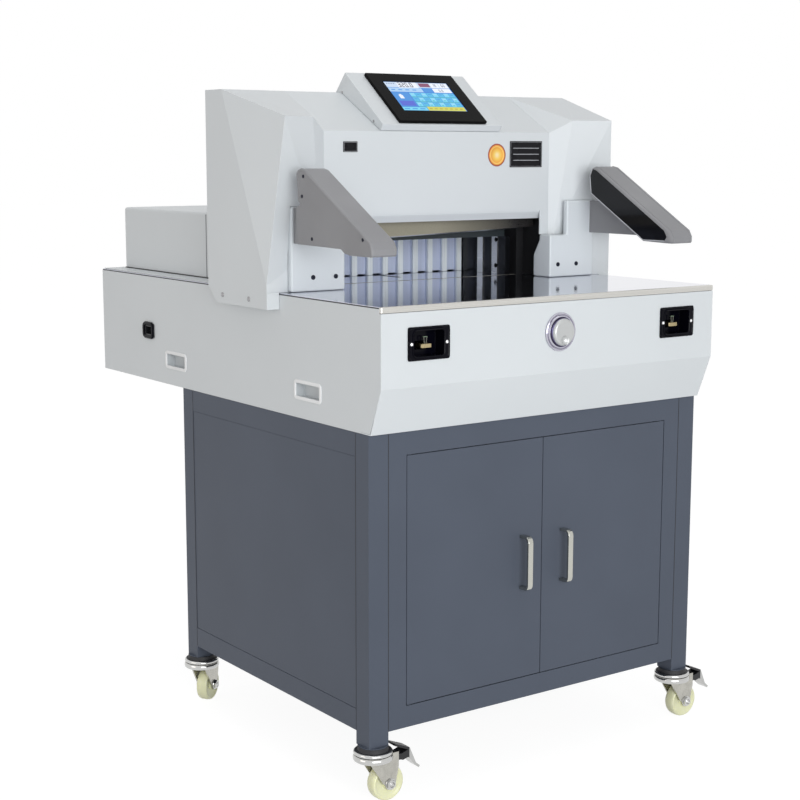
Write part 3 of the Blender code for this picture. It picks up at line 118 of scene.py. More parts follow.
def ramp(tree, value, stops):
    made = tree.nodes.new("ShaderNodeValToRGB")
    elements = made.color_ramp.elements
    while len(elements) < len(stops):
        elements.new(0.5)
    for element, (place, colour) in zip(elements, stops):
        element.position = place
        element.color = (*colour, 1)
    tree.links.new(value, made.inputs["Fac"])
    return made.outputs["Color"]


def bump(tree, shader, height, distance):
    """Relief that is distance deep where height goes from 0 to 1."""
    made = tree.nodes.new("ShaderNodeBump")
    made.inputs["Strength"].default_value = 1.0
    made.inputs["Distance"].default_value = distance
    tree.links.new(height, made.inputs["Height"])
    tree.links.new(made.outputs["Normal"], shader.inputs["Normal"])


def shade(colour, factor):
    return tuple(c * factor for c in colour)


def tinted(tree, value, colour, low, high):
    """The colour times low where value is small, turning to times high where it is large."""
    return ramp(tree, value, ((0.3, shade(colour, low)), (0.7, shade(colour, high))))


def screen_colour(red, green, blue):
    """A linear colour from display values of 0 to 255."""
    return tuple(
        value / 255 / 12.92 if value <= 10 else ((value / 255 + 0.055) / 1.055) ** 2.4
        for value in (red, green, blue)
    )


def powder(name, colour, rough, grain=900, depth=0.00006, patch=0.03, specular=0.5):
    """Powder coat: a fine orange-peel grain with faint broad patches."""
    made, tree, shader = blank(name)
    where = coords(tree)
    broad = noise(tree, where, 5.0, 3.0)
    tint = tinted(tree, broad, colour, 1 - patch, 1 + patch)
    tree.links.new(tint, shader.inputs["Base Color"])
    fine = noise(tree, where, grain, 1.0)
    tree.links.new(spread(tree, fine, rough - 0.05, rough + 0.05), shader.inputs["Roughness"])
    shader.inputs["Specular IOR Level"].default_value = specular
    bump(tree, shader, fine, depth)
    return made


def brushed(name, colour, rough, stretch, metallic=1.0, patch=0.08):
    """Metal with fine lines that run across the stretched axis."""
    made, tree, shader = blank(name)
    lines = noise(tree, coords(tree, stretch), 1.0, 3.0, 0.6)
    tint = tinted(tree, lines, colour, 1 - patch, 1 + patch)
    tree.links.new(tint, shader.inputs["Base Color"])
    tree.links.new(spread(tree, lines, rough * 0.75, rough * 1.3), shader.inputs["Roughness"])
    shader.inputs["Metallic"].default_value = metallic
    bump(tree, shader, lines, BRUSHED_DEPTH)
    return made


def polished(name, colour, rough, metallic=1.0, smear=0.05, specular=0.5):
    """A smooth finish whose gloss varies a little, as handling leaves it."""
    made, tree, shader = blank(name)
    cloud = noise(tree, coords(tree), 22.0, 3.0)
    tint = tinted(tree, cloud, colour, 0.95, 1.05)
    tree.links.new(tint, shader.inputs["Base Color"])
    tree.links.new(spread(tree, cloud, rough, rough + smear), shader.inputs["Roughness"])
    shader.inputs["Metallic"].default_value = metallic
    shader.inputs["Specular IOR Level"].default_value = specular
    return made


def casting(name, colour, rough):
    """Painted cast iron with a coarse, uneven surface."""
    made, tree, shader = blank(name)
    where = coords(tree)
    coarse = noise(tree, where, 260, 4.0, 0.6)
    tint = tinted(tree, coarse, colour, 0.8, 1.2)
    tree.links.new(tint, shader.inputs["Base Color"])
    shader.inputs["Roughness"].default_value = rough
    shader.inputs["Metallic"].default_value = 0.2
    bump(tree, shader, coarse, 0.0002)
    return made


def moulded(name, colour, rough, grain=1500, depth=0.00005, specular=0.5):
    """Moulded plastic or rubber with a fine grain."""
    made, tree, shader = blank(name)
    where = coords(tree)
    fine = noise(tree, where, grain, 2.0)
    broad = noise(tree, where, 9.0, 2.0)
    tint = tinted(tree, broad, colour, 0.94, 1.06)
    tree.links.new(tint, shader.inputs["Base Color"])
    tree.links.new(spread(tree, fine, rough - 0.04, rough + 0.06), shader.inputs["Roughness"])
    shader.inputs["Specular IOR Level"].default_value = specular
    bump(tree, shader, fine, depth)
    return made


def lit(name, red, green, blue):
    """A patch of the display that glows through its cover, its colour in display values."""
    made, tree, shader = blank(name)
    dots = noise(tree, coords(tree), 2500, 0.0)
    tint = tinted(tree, dots, screen_colour(red, green, blue), 0.93, 1.05)
    tree.links.new(tint, shader.inputs["Emission Color"])
    shader.inputs["Emission Strength"].default_value = 1.0
    shader.inputs["Base Color"].default_value = (0.01, 0.01, 0.01, 1)
    shader.inputs["Roughness"].default_value = 0.12
    return made


def place_value(tree, axis, mirrored=False):
    """A point's place along one axis, or its distance from the mirror plane."""
    source = tree.nodes.new("ShaderNodeTexCoord")
    split = tree.nodes.new("ShaderNodeSeparateXYZ")
    tree.links.new(source.outputs["Object"], split.inputs[0])
    value = split.outputs[axis]
    if not mirrored:
        return value
    for operation, number in (("SUBTRACT", MID), ("ABSOLUTE", 0.0)):
        step = tree.nodes.new("ShaderNodeMath")
        step.operation = operation
        step.inputs[1].default_value = number
        tree.links.new(value, step.inputs[0])
        value = step.outputs[0]
    return value


def between(tree, factor, first, second):
    """The first colour where factor is 0 and the second where it is 1."""
    mix = tree.nodes.new("ShaderNodeMix")
    mix.data_type = "RGBA"
    tree.links.new(factor, mix.inputs["Factor"])
    tree.links.new(first, mix.inputs["A"])
    tree.links.new(second, mix.inputs["B"])
    return mix.outputs["Result"]


def two_tone(name, axis, start, end, near, far, rough, metallic, grain=(700, 8, 8), mirrored=False):
    """One metal whose tone and gloss turn from near to far between two places along an axis."""
    made, tree, shader = blank(name)
    where = spread(tree, place_value(tree, axis, mirrored), 0, 1, start, end)
    lines = noise(tree, coords(tree, grain), 1.0, 3.0, 0.6)
    tones = [tinted(tree, lines, colour, 0.92, 1.06) for colour in (near, far)]
    tree.links.new(between(tree, where, *tones), shader.inputs["Base Color"])
    wear = tree.nodes.new("ShaderNodeMath")
    wear.operation = "MULTIPLY"
    tree.links.new(spread(tree, where, *rough, 0, 1), wear.inputs[0])
    tree.links.new(spread(tree, lines, 0.8, 1.25), wear.inputs[1])
    tree.links.new(wear.outputs[0], shader.inputs["Roughness"])
    tree.links.new(spread(tree, where, *metallic, 0, 1), shader.inputs["Metallic"])
    bump(tree, shader, lines, BRUSHED_DEPTH)
    return made


def foil(name, centre, radius):
    """Printed foil in plain rings about a centre."""
    made, tree, shader = blank(name)
    source = tree.nodes.new("ShaderNodeTexCoord")
    apart = tree.nodes.new("ShaderNodeVectorMath")
    apart.operation = "DISTANCE"
    apart.inputs[1].default_value = centre
    tree.links.new(source.outputs["Object"], apart.inputs[0])
    reach = spread(tree, apart.outputs["Value"], 0, 1, 0, radius)
    stops = (
        (0.0, (250, 232, 190)), (0.35, (246, 205, 96)), (0.66, (238, 164, 62)),
        (0.72, (252, 214, 118)), (0.84, (236, 150, 60)), (0.93, (150, 66, 60)),
    )
    tint = ramp(tree, reach, [(share, screen_colour(*colour)) for share, colour in stops])
    tree.links.new(tint, shader.inputs["Base Color"])
    shimmer = noise(tree, coords(tree), 700, 2.0)
    tree.links.new(spread(tree, shimmer, 0.28, 0.4), shader.inputs["Roughness"])
    shader.inputs["Metallic"].default_value = 0.15
    return made


housing = powder("housing_white", (0.66, 0.69, 0.71), 0.42, depth=0.00004, patch=0.012)
bracket = powder("bracket_white", (0.70, 0.74, 0.77), 0.34, depth=0.00003, patch=0.012)
cabinet = powder(
    "cabinet_grey", (0.082, 0.096, 0.127), 0.46, grain=1300, depth=0.00008, patch=0.04, specular=0.2
)
arm_paint = moulded("arm_grey", (0.25, 0.25, 0.262), 0.5)
gloss_black = polished("gloss_black", (0.004, 0.004, 0.006), 0.08, metallic=0.0, smear=0.04, specular=0.3)
bezel_black = moulded("bezel_black", (0.006, 0.006, 0.006), 0.26, grain=900, depth=0.00002, specular=0.03)
well_black = moulded("well_black", (0.012, 0.013, 0.016), 0.28, depth=0.00003)
well_gloss = polished("well_gloss", (0.002, 0.002, 0.005), 0.12, metallic=0.0, smear=0.08, specular=0.08)
chrome = polished("chrome", (0.72, 0.73, 0.75), 0.07)
dial_chrome = polished("dial_chrome", (0.50, 0.49, 0.56), 0.09)
# Dark violet on the knob's side wall is a painted reflection; the wall is the same metal as the knob's face
dial_side_painted_reflection = polished("dial_side_painted_reflection", (0.22, 0.20, 0.32), 0.2, metallic=0.8)
knob_metal = brushed("satin_aluminium", (0.52, 0.53, 0.53), 0.38, (900, 900, 900), metallic=0.7)
stainless = brushed("stainless", (0.62, 0.61, 0.58), 0.24, (4, 900, 900))
table_steel = brushed("table_steel", (0.60, 0.61, 0.68), 0.06, (6, 700, 6), patch=0.06)
# On the one alloy of the back gauge, the tooth fronts carry painted light and the recesses between them are
# coloured darker and bluer as painted shade
gauge_painted_light = two_tone(
    "gauge_alloy", "Y", FRONT + 0.597, FRONT + 0.603, (0.90, 0.96, 1.0), (0.60, 0.66, 0.83), (0.3, 0.36),
    metallic=(0.05, 0.05),
)
# The side gauges' rib faces are coloured near white against the near-black plate: a painted highlight along the
# ribs
side_gauge_painted_highlight = two_tone(
    "side_gauge_painted_highlight", "X", 0.2284, 0.2296, (0.66, 0.66, 0.67), (0.014, 0.015, 0.018), (0.24, 0.18),
    metallic=(0.9, 0.6), mirrored=True,
)
# The knife beam's beige paint fades to near black towards its right end: painted shade
beam_paint_and_shade = two_tone(
    "beam_steel", "X", MID + 0.02, MID + 0.225, (0.29, 0.27, 0.205), (0.030, 0.028, 0.028), (0.42, 0.3),
    metallic=(0.1, 0.3), grain=(300, 300, 300),
)
blade_metal = brushed("blade_steel", (0.50, 0.52, 0.54), 0.2, (5, 700, 900))
clamp_paint = casting("clamp_grey", (0.018, 0.026, 0.030), 0.45)
frame_paint = casting("cast_grey", (0.012, 0.012, 0.014), 0.55)
zinc = brushed("zinc", (0.47, 0.46, 0.42), 0.26, (60, 60, 60), patch=0.12)
handle_chrome = polished("handle_chrome", (0.50, 0.50, 0.46), 0.14)
ring_steel = polished("ring_steel", (0.56, 0.56, 0.55), 0.14)
nylon = moulded("wheel_cream", (0.83, 0.83, 0.55), 0.32)
nylon_shader = nylon.node_tree.nodes["Principled BSDF"]
nylon_shader.inputs["Subsurface Weight"].default_value = 0.15
nylon_shader.inputs["Subsurface Radius"].default_value = (0.004, 0.004, 0.002)
brake_paint = powder("brake_black", (0.022, 0.022, 0.025), 0.32)
brake_left, brake_right = [
    two_tone(
        name, "X", MID + pivot + 0.0725, MID + pivot + 0.0735, (0.010, 0.010, 0.012), (0.50, 0.50, 0.49),
        (0.35, 0.22), metallic=(0.1, 0.95), grain=(200, 200, 200),
    )
    for name, pivot in (("brake_left", -0.3825), ("brake_right", 0.3825))
]
motor_paint = casting("motor_black", (0.03, 0.03, 0.034), 0.5)
brass = brushed("button_brass", (0.46, 0.38, 0.22), 0.34, (300, 300, 300))
prong_pale = moulded("prong_pale", (0.12, 0.12, 0.10), 0.4)
prong_tip = moulded("prong_tip", (0.16, 0.22, 0.15), 0.35)
stick = moulded("stick_cream", (0.62, 0.60, 0.52), 0.5)
bright_screw = polished("bright_screw", (0.86, 0.86, 0.87), 0.14)
dark_bolt = polished("dark_bolt", (0.012, 0.014, 0.028), 0.34, metallic=0.2, specular=0.25)
screw_steel = polished("screw_steel", (0.34, 0.34, 0.35), 0.3)
grip_white = moulded("grip_white", (0.86, 0.87, 0.88), 0.3, depth=0.00002)
# Dark rubber, which also makes the strip of painted contact shade at the hood's foot
rubber_and_painted_shade = moulded("rubber_and_painted_shade", (0.015, 0.015, 0.018), 0.6)
rim_grey = moulded("rim_grey", (0.46, 0.47, 0.50), 0.35)
plate_dark = polished("plate_dark", (0.006, 0.006, 0.008), 0.24, metallic=0.0, smear=0.08, specular=0.14)
# Dark strips of painted shade in seams and gaps
seam_shade = powder("seam_shade", (0.022, 0.024, 0.03), 0.6)
joint_shade = powder("joint_shade", (0.20, 0.21, 0.23), 0.5)
seal_foil = foil("seal_foil", SEAL_PLACE, 0.0235)

sky = lit("sky", 28, 116, 208)
azure = lit("azure", 34, 134, 214)
aqua = lit("aqua", 104, 206, 236)
cyan = lit("cyan", 58, 180, 226)
teal = lit("teal", 58, 178, 186)
pale = lit("pale", 196, 214, 236)
mist = lit("mist", 164, 202, 238)
snow = lit("snow", 232, 238, 248)
violet = lit("violet", 58, 84, 204)
maroon = lit("maroon", 122, 42, 88)
lime = lit("lime", 204, 204, 62)
olive = lit("olive", 168, 148, 50)
ink = lit("ink", 24, 24, 40)
slate = lit("slate", 92, 104, 138)

by_slot = {
    "housing_white": housing,
    "bracket_white": bracket,
    "cabinet_grey": cabinet,
    "arm_grey": arm_paint,
    "gloss_black": gloss_black,
    "well_black": well_black,
    "chrome": chrome,
    "satin_aluminium": knob_metal,
    "stainless": stainless,
    "table_steel": table_steel,
    "gauge_alloy": gauge_painted_light,
    "beam_steel": beam_paint_and_shade,
    "blade_steel": blade_metal,
    "clamp_grey": clamp_paint,
    "cast_grey": frame_paint,
    "zinc": zinc,
    "wheel_cream": nylon,
    "brake_black": brake_paint,
    "motor_black": motor_paint,
    "button_brass": brass,
    "stick_cream": stick,
}
by_node = {
    "touch_panel": bezel_black,
    "left_side_gauge": side_gauge_painted_highlight,
    "right_side_gauge": side_gauge_painted_highlight,
    "left_button_well": well_gloss,
    "right_button_well": well_gloss,
    "left_door_handle": handle_chrome,
    "right_door_handle": handle_chrome,
    "front_left_brake_pedal": brake_left,
    "front_right_brake_pedal": brake_right,
}

for subpart in frame["record"]["subparts"]:
    shown = nodes[subpart["node"]]
    shown.data.materials.clear()
    shown.data.materials.append(by_node.get(subpart["node"], by_slot[subpart["material_slot"]]))

# Edge rounding, in metres
ROUNDED = {
    "deck_front_panel": 0.0015, "deck_left_side": 0.0015, "deck_right_side": 0.0015,
    "deck_rear_panel": 0.0015, "left_upright_cover": 0.0015, "right_upright_cover": 0.0015,
    "console_housing": 0.0015, "rear_hood": 0.0015,
    "left_bracket_block": 0.004, "right_bracket_block": 0.004,
    "stand_left_panel": 0.0008, "stand_right_panel": 0.0008, "left_door": 0.0008, "right_door": 0.0008,
    "left_arm_window": 0.0006, "right_arm_window": 0.0006, "touch_panel": 0.0006,
    "left_button_well": 0.0006, "right_button_well": 0.0006,
    "left_door_handle": 0.0012, "right_door_handle": 0.0012,
}

# The photocell arm from the side: its nose and length along Y, its height, its foot and its two faces
ARM_NOSE = 0.0486
ARM_LENGTH = 0.245
ARM_HEIGHT = 0.1505
ARM_FOOT = 1.001
ARM_INNER = 0.3331
ARM_OUTER = 0.3912

# The light-curtain window's outline in shares of the arm's length and height, starting with its rim's points
RIM_POINTS = 5
WINDOW_SHARES = (
    (0.961, 0.967), (0.989, 0.880), (0.969, 0.628), (0.326, 0.027),
    (0.082, 0.031), (0.055, 0.086), (0.086, 0.169), (0.915, 0.950),
)

# The housing's outer edge in the same shares, starting with the points of its rounded bead
BEAD_POINTS = 9
EDGE_SHARES = (
    (0.968, 0.619), (1.000, 0.934), (0.985, 0.976), (0.942, 1.000), (0.893, 0.984), (0.100, 0.236),
    (0.030, 0.172), (0.000, 0.090), (0.000, 0.020), (0.012, 0.000), (0.344, 0.011),
)

# The sloped bezel round that window, in the same shares: (at the glass, at the housing's edge)
BEZEL_SHARES = (
    ((0.055, 0.086), (0.001, 0.088)), ((0.064, 0.067), (0.001, 0.021)), ((0.082, 0.031), (0.013, 0.002)),
    ((0.100, 0.031), (0.059, 0.002)), ((0.326, 0.027), (0.344, 0.014)), ((0.969, 0.628), (0.979, 0.602)),
    ((0.989, 0.880), (0.999, 0.932)), ((0.975, 0.930), (0.984, 0.973)), ((0.961, 0.967), (0.942, 0.997)),
    ((0.915, 0.950), (0.894, 0.981)), ((0.086, 0.169), (0.101, 0.233)), ((0.070, 0.128), (0.031, 0.170)),
)


# Mesh tools for the fittings


def skin(rings, loop=False):
    """A closed skin over rings of as many points each, capped at both ends or joined into a loop."""
    shape = bmesh.new()
    rows = [[shape.verts.new(point) for point in ring] for ring in rings]
    following = rows[1:] + rows[:1] if loop else rows[1:]
    for near, far in zip(rows, following):
        for i in range(len(near)):
            j = (i + 1) % len(near)
            shape.faces.new((near[i], near[j], far[j], far[i]))
    if not loop:
        shape.faces.new(reversed(rows[0]))
        shape.faces.new(rows[-1])
    bmesh.ops.recalc_face_normals(shape, faces=shape.faces)
    return shape


def circle(radius, height, steps):
    angles = [math.tau * i / steps for i in range(steps)]
    return [Vector((radius * math.cos(a), radius * math.sin(a), height)) for a in angles]


def lathe(profile, steps, loop=False):
    """A turned body about local Z from (radius, height) points."""
    return skin([circle(radius, height, steps) for radius, height in profile], loop)


def flat_sided(radius, height, sides, steps):
    """A ring of steps points on a regular outline with that many sides, radius to its corners."""
    points = []
    for i in range(steps):
        angle = math.tau * i / steps
        part = (angle + math.pi / sides) % (math.tau / sides) - math.pi / sides
        reach = radius * math.cos(math.pi / sides) / math.cos(part)
        points.append(Vector((reach * math.cos(angle), reach * math.sin(angle), height)))
    return points


def rounded(width, depth, radius, height=0.0, steps=6, centre=(0, 0)):
    """The outline of a rounded rectangle at one height."""
    points = []
    for corner, (sx, sy) in enumerate(((1, 1), (-1, 1), (-1, -1), (1, -1))):
        cx = centre[0] + sx * (width / 2 - radius)
        cy = centre[1] + sy * (depth / 2 - radius)
        for i in range(steps + 1):
            angle = math.pi / 2 * (corner + i / steps)
            points.append(Vector((cx + radius * math.cos(angle), cy + radius * math.sin(angle), height)))
    return points


def facing(origin, out, up=(0, 0, 1)):
    """A frame at origin whose local Z points out, with local Y towards up."""
    z = Vector(out).normalized()
    x = Vector(up).cross(z).normalized()
    y = z.cross(x)
    return Matrix.Translation(origin) @ Matrix((x, y, z)).transposed().to_4x4()


def socket_screw(radius, height):
    """A screw head with a rounded edge and a hexagonal socket."""
    steps = 24
    socket = radius * 0.55
    return skin([
        circle(radius, 0, steps),
        circle(radius, height * 0.55, steps),
        circle(radius * 0.93, height * 0.85, steps),
        circle(radius * 0.80, height, steps),
        flat_sided(socket, height, 6, steps),
        flat_sided(socket, height * 0.4, 6, steps),
    ])


def cross_screw(radius, height):
    """A domed screw head with a cross recess."""
    width, reach = radius * 0.16, radius * 0.62
    plus = [(reach, -width), (reach, width), (width * 1.6, width * 1.6), (width, reach)]
    outline = []
    for quarter in range(4):
        turn = Matrix.Rotation(quarter * math.pi / 2, 2)
        outline += [turn @ Vector(point) for point in plus]
    angles = [math.atan2(point.y, point.x) for point in outline]

    def ring(size, level):
        return [Vector((size * math.cos(a), size * math.sin(a), level)) for a in angles]

    return skin([
        ring(radius, 0), ring(radius, height * 0.35), ring(radius * 0.88, height * 0.75),
        [Vector((p.x, p.y, height)) for p in outline],
        [Vector((p.x * 0.8, p.y * 0.8, height * 0.35)) for p in outline],
    ])


def hex_nut(corner, height, bore):
    """A hexagonal nut with the end of its bolt."""
    steps = 24
    return skin([
        flat_sided(corner, 0, 6, steps),
        flat_sided(corner, height * 0.82, 6, steps),
        flat_sided(corner * 0.92, height, 6, steps),
        circle(bore, height, steps),
        circle(bore, height * 0.7, steps),
        circle(bore * 0.6, height * 1.15, steps),
    ])


def hoop(outline, section, first=0):
    """A rim along a closed outline, or its first few points. Section points are (outward, height)."""
    count = len(outline)
    rings = []
    for i, point in enumerate(outline):
        run = (outline[(i + 1) % count] - outline[i - 1]).normalized()
        out = Vector((run.y, -run.x, 0))
        rings.append([point + out * far + Vector((0, 0, high)) for far, high in section])
    return skin(rings[:first]) if first else skin(rings, loop=True)


def round_section(radius, outward):
    """The section of an eight-sided wire for hoop, its middle set outward."""
    angles = [math.tau * i / 8 for i in range(8)]
    return [(outward + radius * math.cos(a), radius * math.sin(a)) for a in angles]


def slab(outline, low, high, edge=0.0):
    """A plate on an outline, its upper edge broken by edge."""
    middle = sum(outline, Vector()) / len(outline)

    def at_height(level, pull):
        ring = []
        for point in outline:
            away = Vector((point.x - middle.x, point.y - middle.y, 0))
            ring.append(Vector((point.x, point.y, level)) - away.normalized() * pull)
        return ring

    rings = [at_height(low, 0), at_height(high - edge, 0)]
    if edge:
        rings.append(at_height(high, edge))
    return skin(rings)


def piece(name, parts, body, angle=35.0):
    """One mesh from (shape, place, material) parts, which moves with a CAD body."""
    whole = bmesh.new()
    finishes = []
    for shape, place, material in parts:
        if material not in finishes:
            finishes.append(material)
        for face in shape.faces:
            face.material_index = finishes.index(material)
            face.smooth = True
        shape.transform(place)
        part = bpy.data.meshes.new("part")
        shape.to_mesh(part)
        shape.free()
        whole.from_mesh(part)
        bpy.data.meshes.remove(part)
    mesh = bpy.data.meshes.new(name)
    whole.to_mesh(mesh)
    whole.free()
    mesh.set_sharp_from_angle(angle=math.radians(angle))
    for material in finishes:
        mesh.materials.append(material)
    made = bpy.data.objects.new(name, mesh)
    bpy.context.scene.collection.objects.link(made)
    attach(made, body)
    return made


def screws(name, places, out, radius, height, material, make=cross_screw):
    parts = [(make(radius, height), facing(place, out), material) for place in places]
    piece(name, parts, "machine")


SIDES = (("left", -1), ("right", 1))
IDENTITY = Matrix.Identity(4)
TO_FRONT = (0, -1, 0)
TO_BACK = (0, 1, 0)


# Edges of the folded and moulded pieces


def round_edges(node, width):
    """Join a node's facets into whole faces, then bevel its edges."""
    shown = nodes[node]
    weld = shown.modifiers.new("weld", "WELD")
    weld.merge_threshold = 0.00001
    plain = shown.modifiers.new("plain", "DECIMATE")
    plain.decimate_type = "DISSOLVE"
    plain.angle_limit = math.radians(0.5)
    edge = shown.modifiers.new("edge", "BEVEL")
    edge.width = width
    edge.segments = 2
    edge.limit_method = "ANGLE"
    edge.angle_limit = math.radians(25)
    edge.use_clamp_overlap = True
    edge.harden_normals = True


for node, width in ROUNDED.items():
    round_edges(node, width)


# Touch panel picture: plain cells, numbers and bars on the lit face

SCREEN_WIDTH = 0.160
SCREEN_HEIGHT = 0.096
SCREEN_OFFSET = 0.037
SCREEN_RISE = 0.0063
CONSOLE_TILT = 38.1
CONSOLE_FRONT = 0.361
CONSOLE_FOOT = 1.2355
LAYER = 0.00006
DIGIT_GAP = 0.3
SEGMENTS = {
    "0": "abcdef", "1": "bc", "2": "abged", "3": "abgcd", "6": "afgedc", "8": "abcdefg",
}
SEGMENT_BOXES = {
    "a": (0.1, 0.0, 0.9, 0.13), "b": (0.74, 0.05, 1.0, 0.5), "c": (0.74, 0.5, 1.0, 0.95),
    "d": (0.1, 0.87, 0.9, 1.0), "e": (0.0, 0.5, 0.26, 0.95), "f": (0.0, 0.05, 0.26, 0.5),
    "g": (0.1, 0.44, 0.9, 0.56),
}


def cell(box, level, material, frame_at):
    """A patch of the picture: box is (left, top, right, bottom) in shares of the lit face."""
    left, top, right, bottom = box
    outline = [
        Vector((u * SCREEN_WIDTH, (1 - v) * SCREEN_HEIGHT, 0))
        for u, v in ((left, bottom), (right, bottom), (right, top), (left, top))
    ]
    return slab(outline, 0, LAYER * level), frame_at, material


def digit_cells(text, left, top, width, height, material, frame_at):
    """The patches of a number in seven-segment digits."""
    cells = []
    for letter in text:
        if letter == ".":
            box = (left, top + height * 0.84, left + width * 0.28, top + height)
            cells.append(cell(box, 4, material, frame_at))
            left += width * 0.5
            continue
        for name in SEGMENTS[letter]:
            a, b, c, d = SEGMENT_BOXES[name]
            box = (left + a * width, top + b * height, left + c * width, top + d * height)
            cells.append(cell(box, 4, material, frame_at))
        left += width * (1 + DIGIT_GAP)
    return cells


def make_screen():
    tilt = math.radians(CONSOLE_TILT)
    along = Vector((0, math.cos(tilt), math.sin(tilt)))
    out = Vector((0, -math.sin(tilt), math.cos(tilt)))
    corner = at(-SCREEN_WIDTH / 2, CONSOLE_FRONT, CONSOLE_FOOT) + along * SCREEN_OFFSET + out * SCREEN_RISE
    where = facing(corner, out, along)
    patches = (
        ((0, 0, 1, 1), 1, sky),
        ((0.005, 0.01, 0.995, 0.19), 2, pale),
        ((0.19, 0.01, 0.50, 0.20), 3, snow),
        ((0.53, 0.03, 0.70, 0.16), 3, maroon),
        ((0.715, 0.02, 0.84, 0.18), 3, snow),
        ((0.855, 0.02, 0.985, 0.18), 3, snow),
        ((0.005, 0.205, 0.53, 0.345), 2, mist),
        ((0.54, 0.205, 0.685, 0.345), 3, azure),
        ((0.70, 0.205, 0.985, 0.345), 3, snow),
        ((0.01, 0.37, 0.265, 0.86), 2, azure),
        ((0.03, 0.66, 0.255, 0.83), 3, violet),
        ((0.09, 0.46, 0.15, 0.58), 4, snow),
        ((0.105, 0.43, 0.135, 0.46), 4, snow),
        ((0.005, 0.875, 0.385, 0.985), 2, aqua),
        ((0.395, 0.855, 0.985, 0.985), 3, lime),
    )
    parts = [cell(*patch, where) for patch in patches]
    parts += digit_cells("320.0", 0.20, 0.022, 0.042, 0.155, ink, where)
    parts += digit_cells("18", 0.745, 0.045, 0.024, 0.10, slate, where)
    parts += digit_cells("60", 0.885, 0.045, 0.024, 0.10, slate, where)
    parts += digit_cells("0.0", 0.79, 0.235, 0.024, 0.085, slate, where)
    for i in range(4):
        parts.append(cell((0.03 + i * 0.035, 0.05, 0.05 + i * 0.035, 0.075), 3, slate, where))
        parts.append(cell((0.04 + i * 0.11, 0.26, 0.10 + i * 0.11, 0.29), 3, azure, where))
    rows = ((0.375, 0.50), (0.535, 0.665), (0.70, 0.835))
    for row, (top, bottom) in enumerate(rows):
        parts.append(cell((0.28, bottom + 0.006, 0.99, bottom + 0.026), 2, teal, where))
        for column in range(8):
            left = 0.28 + column * 0.089
            tone = (aqua, cyan)[(row + column) % 2]
            parts.append(cell((left, top, left + 0.081, bottom), 2, tone, where))
            mark = (left + 0.018, top + 0.035, left + 0.062, top + 0.060)
            parts.append(cell(mark, 3, (mist, azure)[(row + column) % 2], where))
            if row:
                mark = (left + 0.022, bottom - 0.045, left + 0.052, bottom - 0.025)
                parts.append(cell(mark, 3, teal, where))
    for i in range(7):
        parts.append(cell((0.42 + i * 0.08, 0.905, 0.465 + i * 0.08, 0.935), 4, olive, where))
    for i in range(3):
        parts.append(cell((0.03 + i * 0.12, 0.915, 0.11 + i * 0.12, 0.945), 3, azure, where))
    piece("screen_picture", parts, "machine")
    middle = (SCREEN_WIDTH / 2, SCREEN_HEIGHT / 2)
    rim = rounded(SCREEN_WIDTH + 0.001, SCREEN_HEIGHT + 0.001, 0.0008, 0.0, 3, middle)
    edge = hoop(rim, [(0, 0), (0.0014, 0.0), (0.0010, 0.0013), (0.0003, 0.0013)])
    piece("screen_rim", [(edge, where, bezel_black)], "machine")


make_screen()


# Jog dial


def make_jog():
    here = facing(at(0, 0, CONTROL_HEIGHT), TO_FRONT)
    steps = 96
    ring = [
        (0.0262, 0.0004), (0.0360, 0.0004), (0.0364, 0.0010), (0.0363, 0.0024), (0.0356, 0.0036),
        (0.0344, 0.0042), (0.0332, 0.0038), (0.0325, 0.0024), (0.0318, 0.0024), (0.0311, 0.0046),
        (0.0300, 0.0058), (0.0284, 0.0059), (0.0270, 0.0050), (0.0262, 0.0034),
    ]
    dial_ring = piece("jog_bezel", [(lathe(ring, steps, loop=True), here, dial_chrome)], "machine")
    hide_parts("jog_ring")
    face = 0.0155
    flat = [0.0217, 0.0205] + [0.019 - 0.0015 * i for i in range(13)]
    knob = lathe([
        (0.0250, 0.0004), (0.0256, 0.0010), (0.0256, face - 0.0052), (0.0252, face - 0.0036),
        (0.0243, face - 0.0018), (0.0230, face - 0.0005), *((radius, face) for radius in flat),
    ], steps)
    # The knob's side band carries the painted reflection in dark violet
    side = lathe([
        (0.0250, 0.0006), (0.0257, 0.0006), (0.02585, 0.0012), (0.02585, face - 0.0056),
        (0.0257, face - 0.0052), (0.0250, face - 0.0052),
    ], steps, loop=True)
    scoop, scoop_radius, scoop_depth = Vector((0, -0.0148)), 0.0088, 0.0052
    for vert in knob.verts:
        if vert.co.z > face - 0.0001:
            near = 1 - ((vert.co.xy - scoop).length / scoop_radius) ** 2
            if near > 0:
                vert.co.z -= scoop_depth * near ** 0.8
    dial = piece("jog_dial", [(knob, here, knob_metal), (side, here, dial_side_painted_reflection)], "jog")
    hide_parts("jog_knob")


make_jog()


# Button wells


def make_wells():
    """Each well's rounded mouth, the edge of its flange and its two screws."""
    flange = -0.0018
    lip_section = ((-0.0002, -0.004), (0.0030, 0.0), (0.0024, 0.0013), (0.0008, 0.0016), (-0.0004, 0.0008))
    edge_section = ((-0.0040, 0.0), (0.0, -0.0001), (-0.0004, 0.0008), (-0.0018, 0.0011))
    for side, sign in SIDES:
        here = facing(at(sign * WELL_OFFSET, flange, CONTROL_HEIGHT), TO_FRONT)
        lip = hoop(rounded(0.0665, 0.0465, 0.007, 0, 8), lip_section)
        edge = hoop(rounded(0.0915, 0.0595, 0.0085, 0, 8), edge_section)
        parts = [(lip, here, well_gloss), (edge, here, well_gloss)]
        piece(f"{side}_well_lip", parts, "machine")
        places = [at(sign * WELL_OFFSET + across, flange, CONTROL_HEIGHT) for across in (-0.0385, 0.0385)]
        screws(f"{side}_well_screws", places, TO_FRONT, 0.0034, 0.0019, bright_screw)


make_wells()


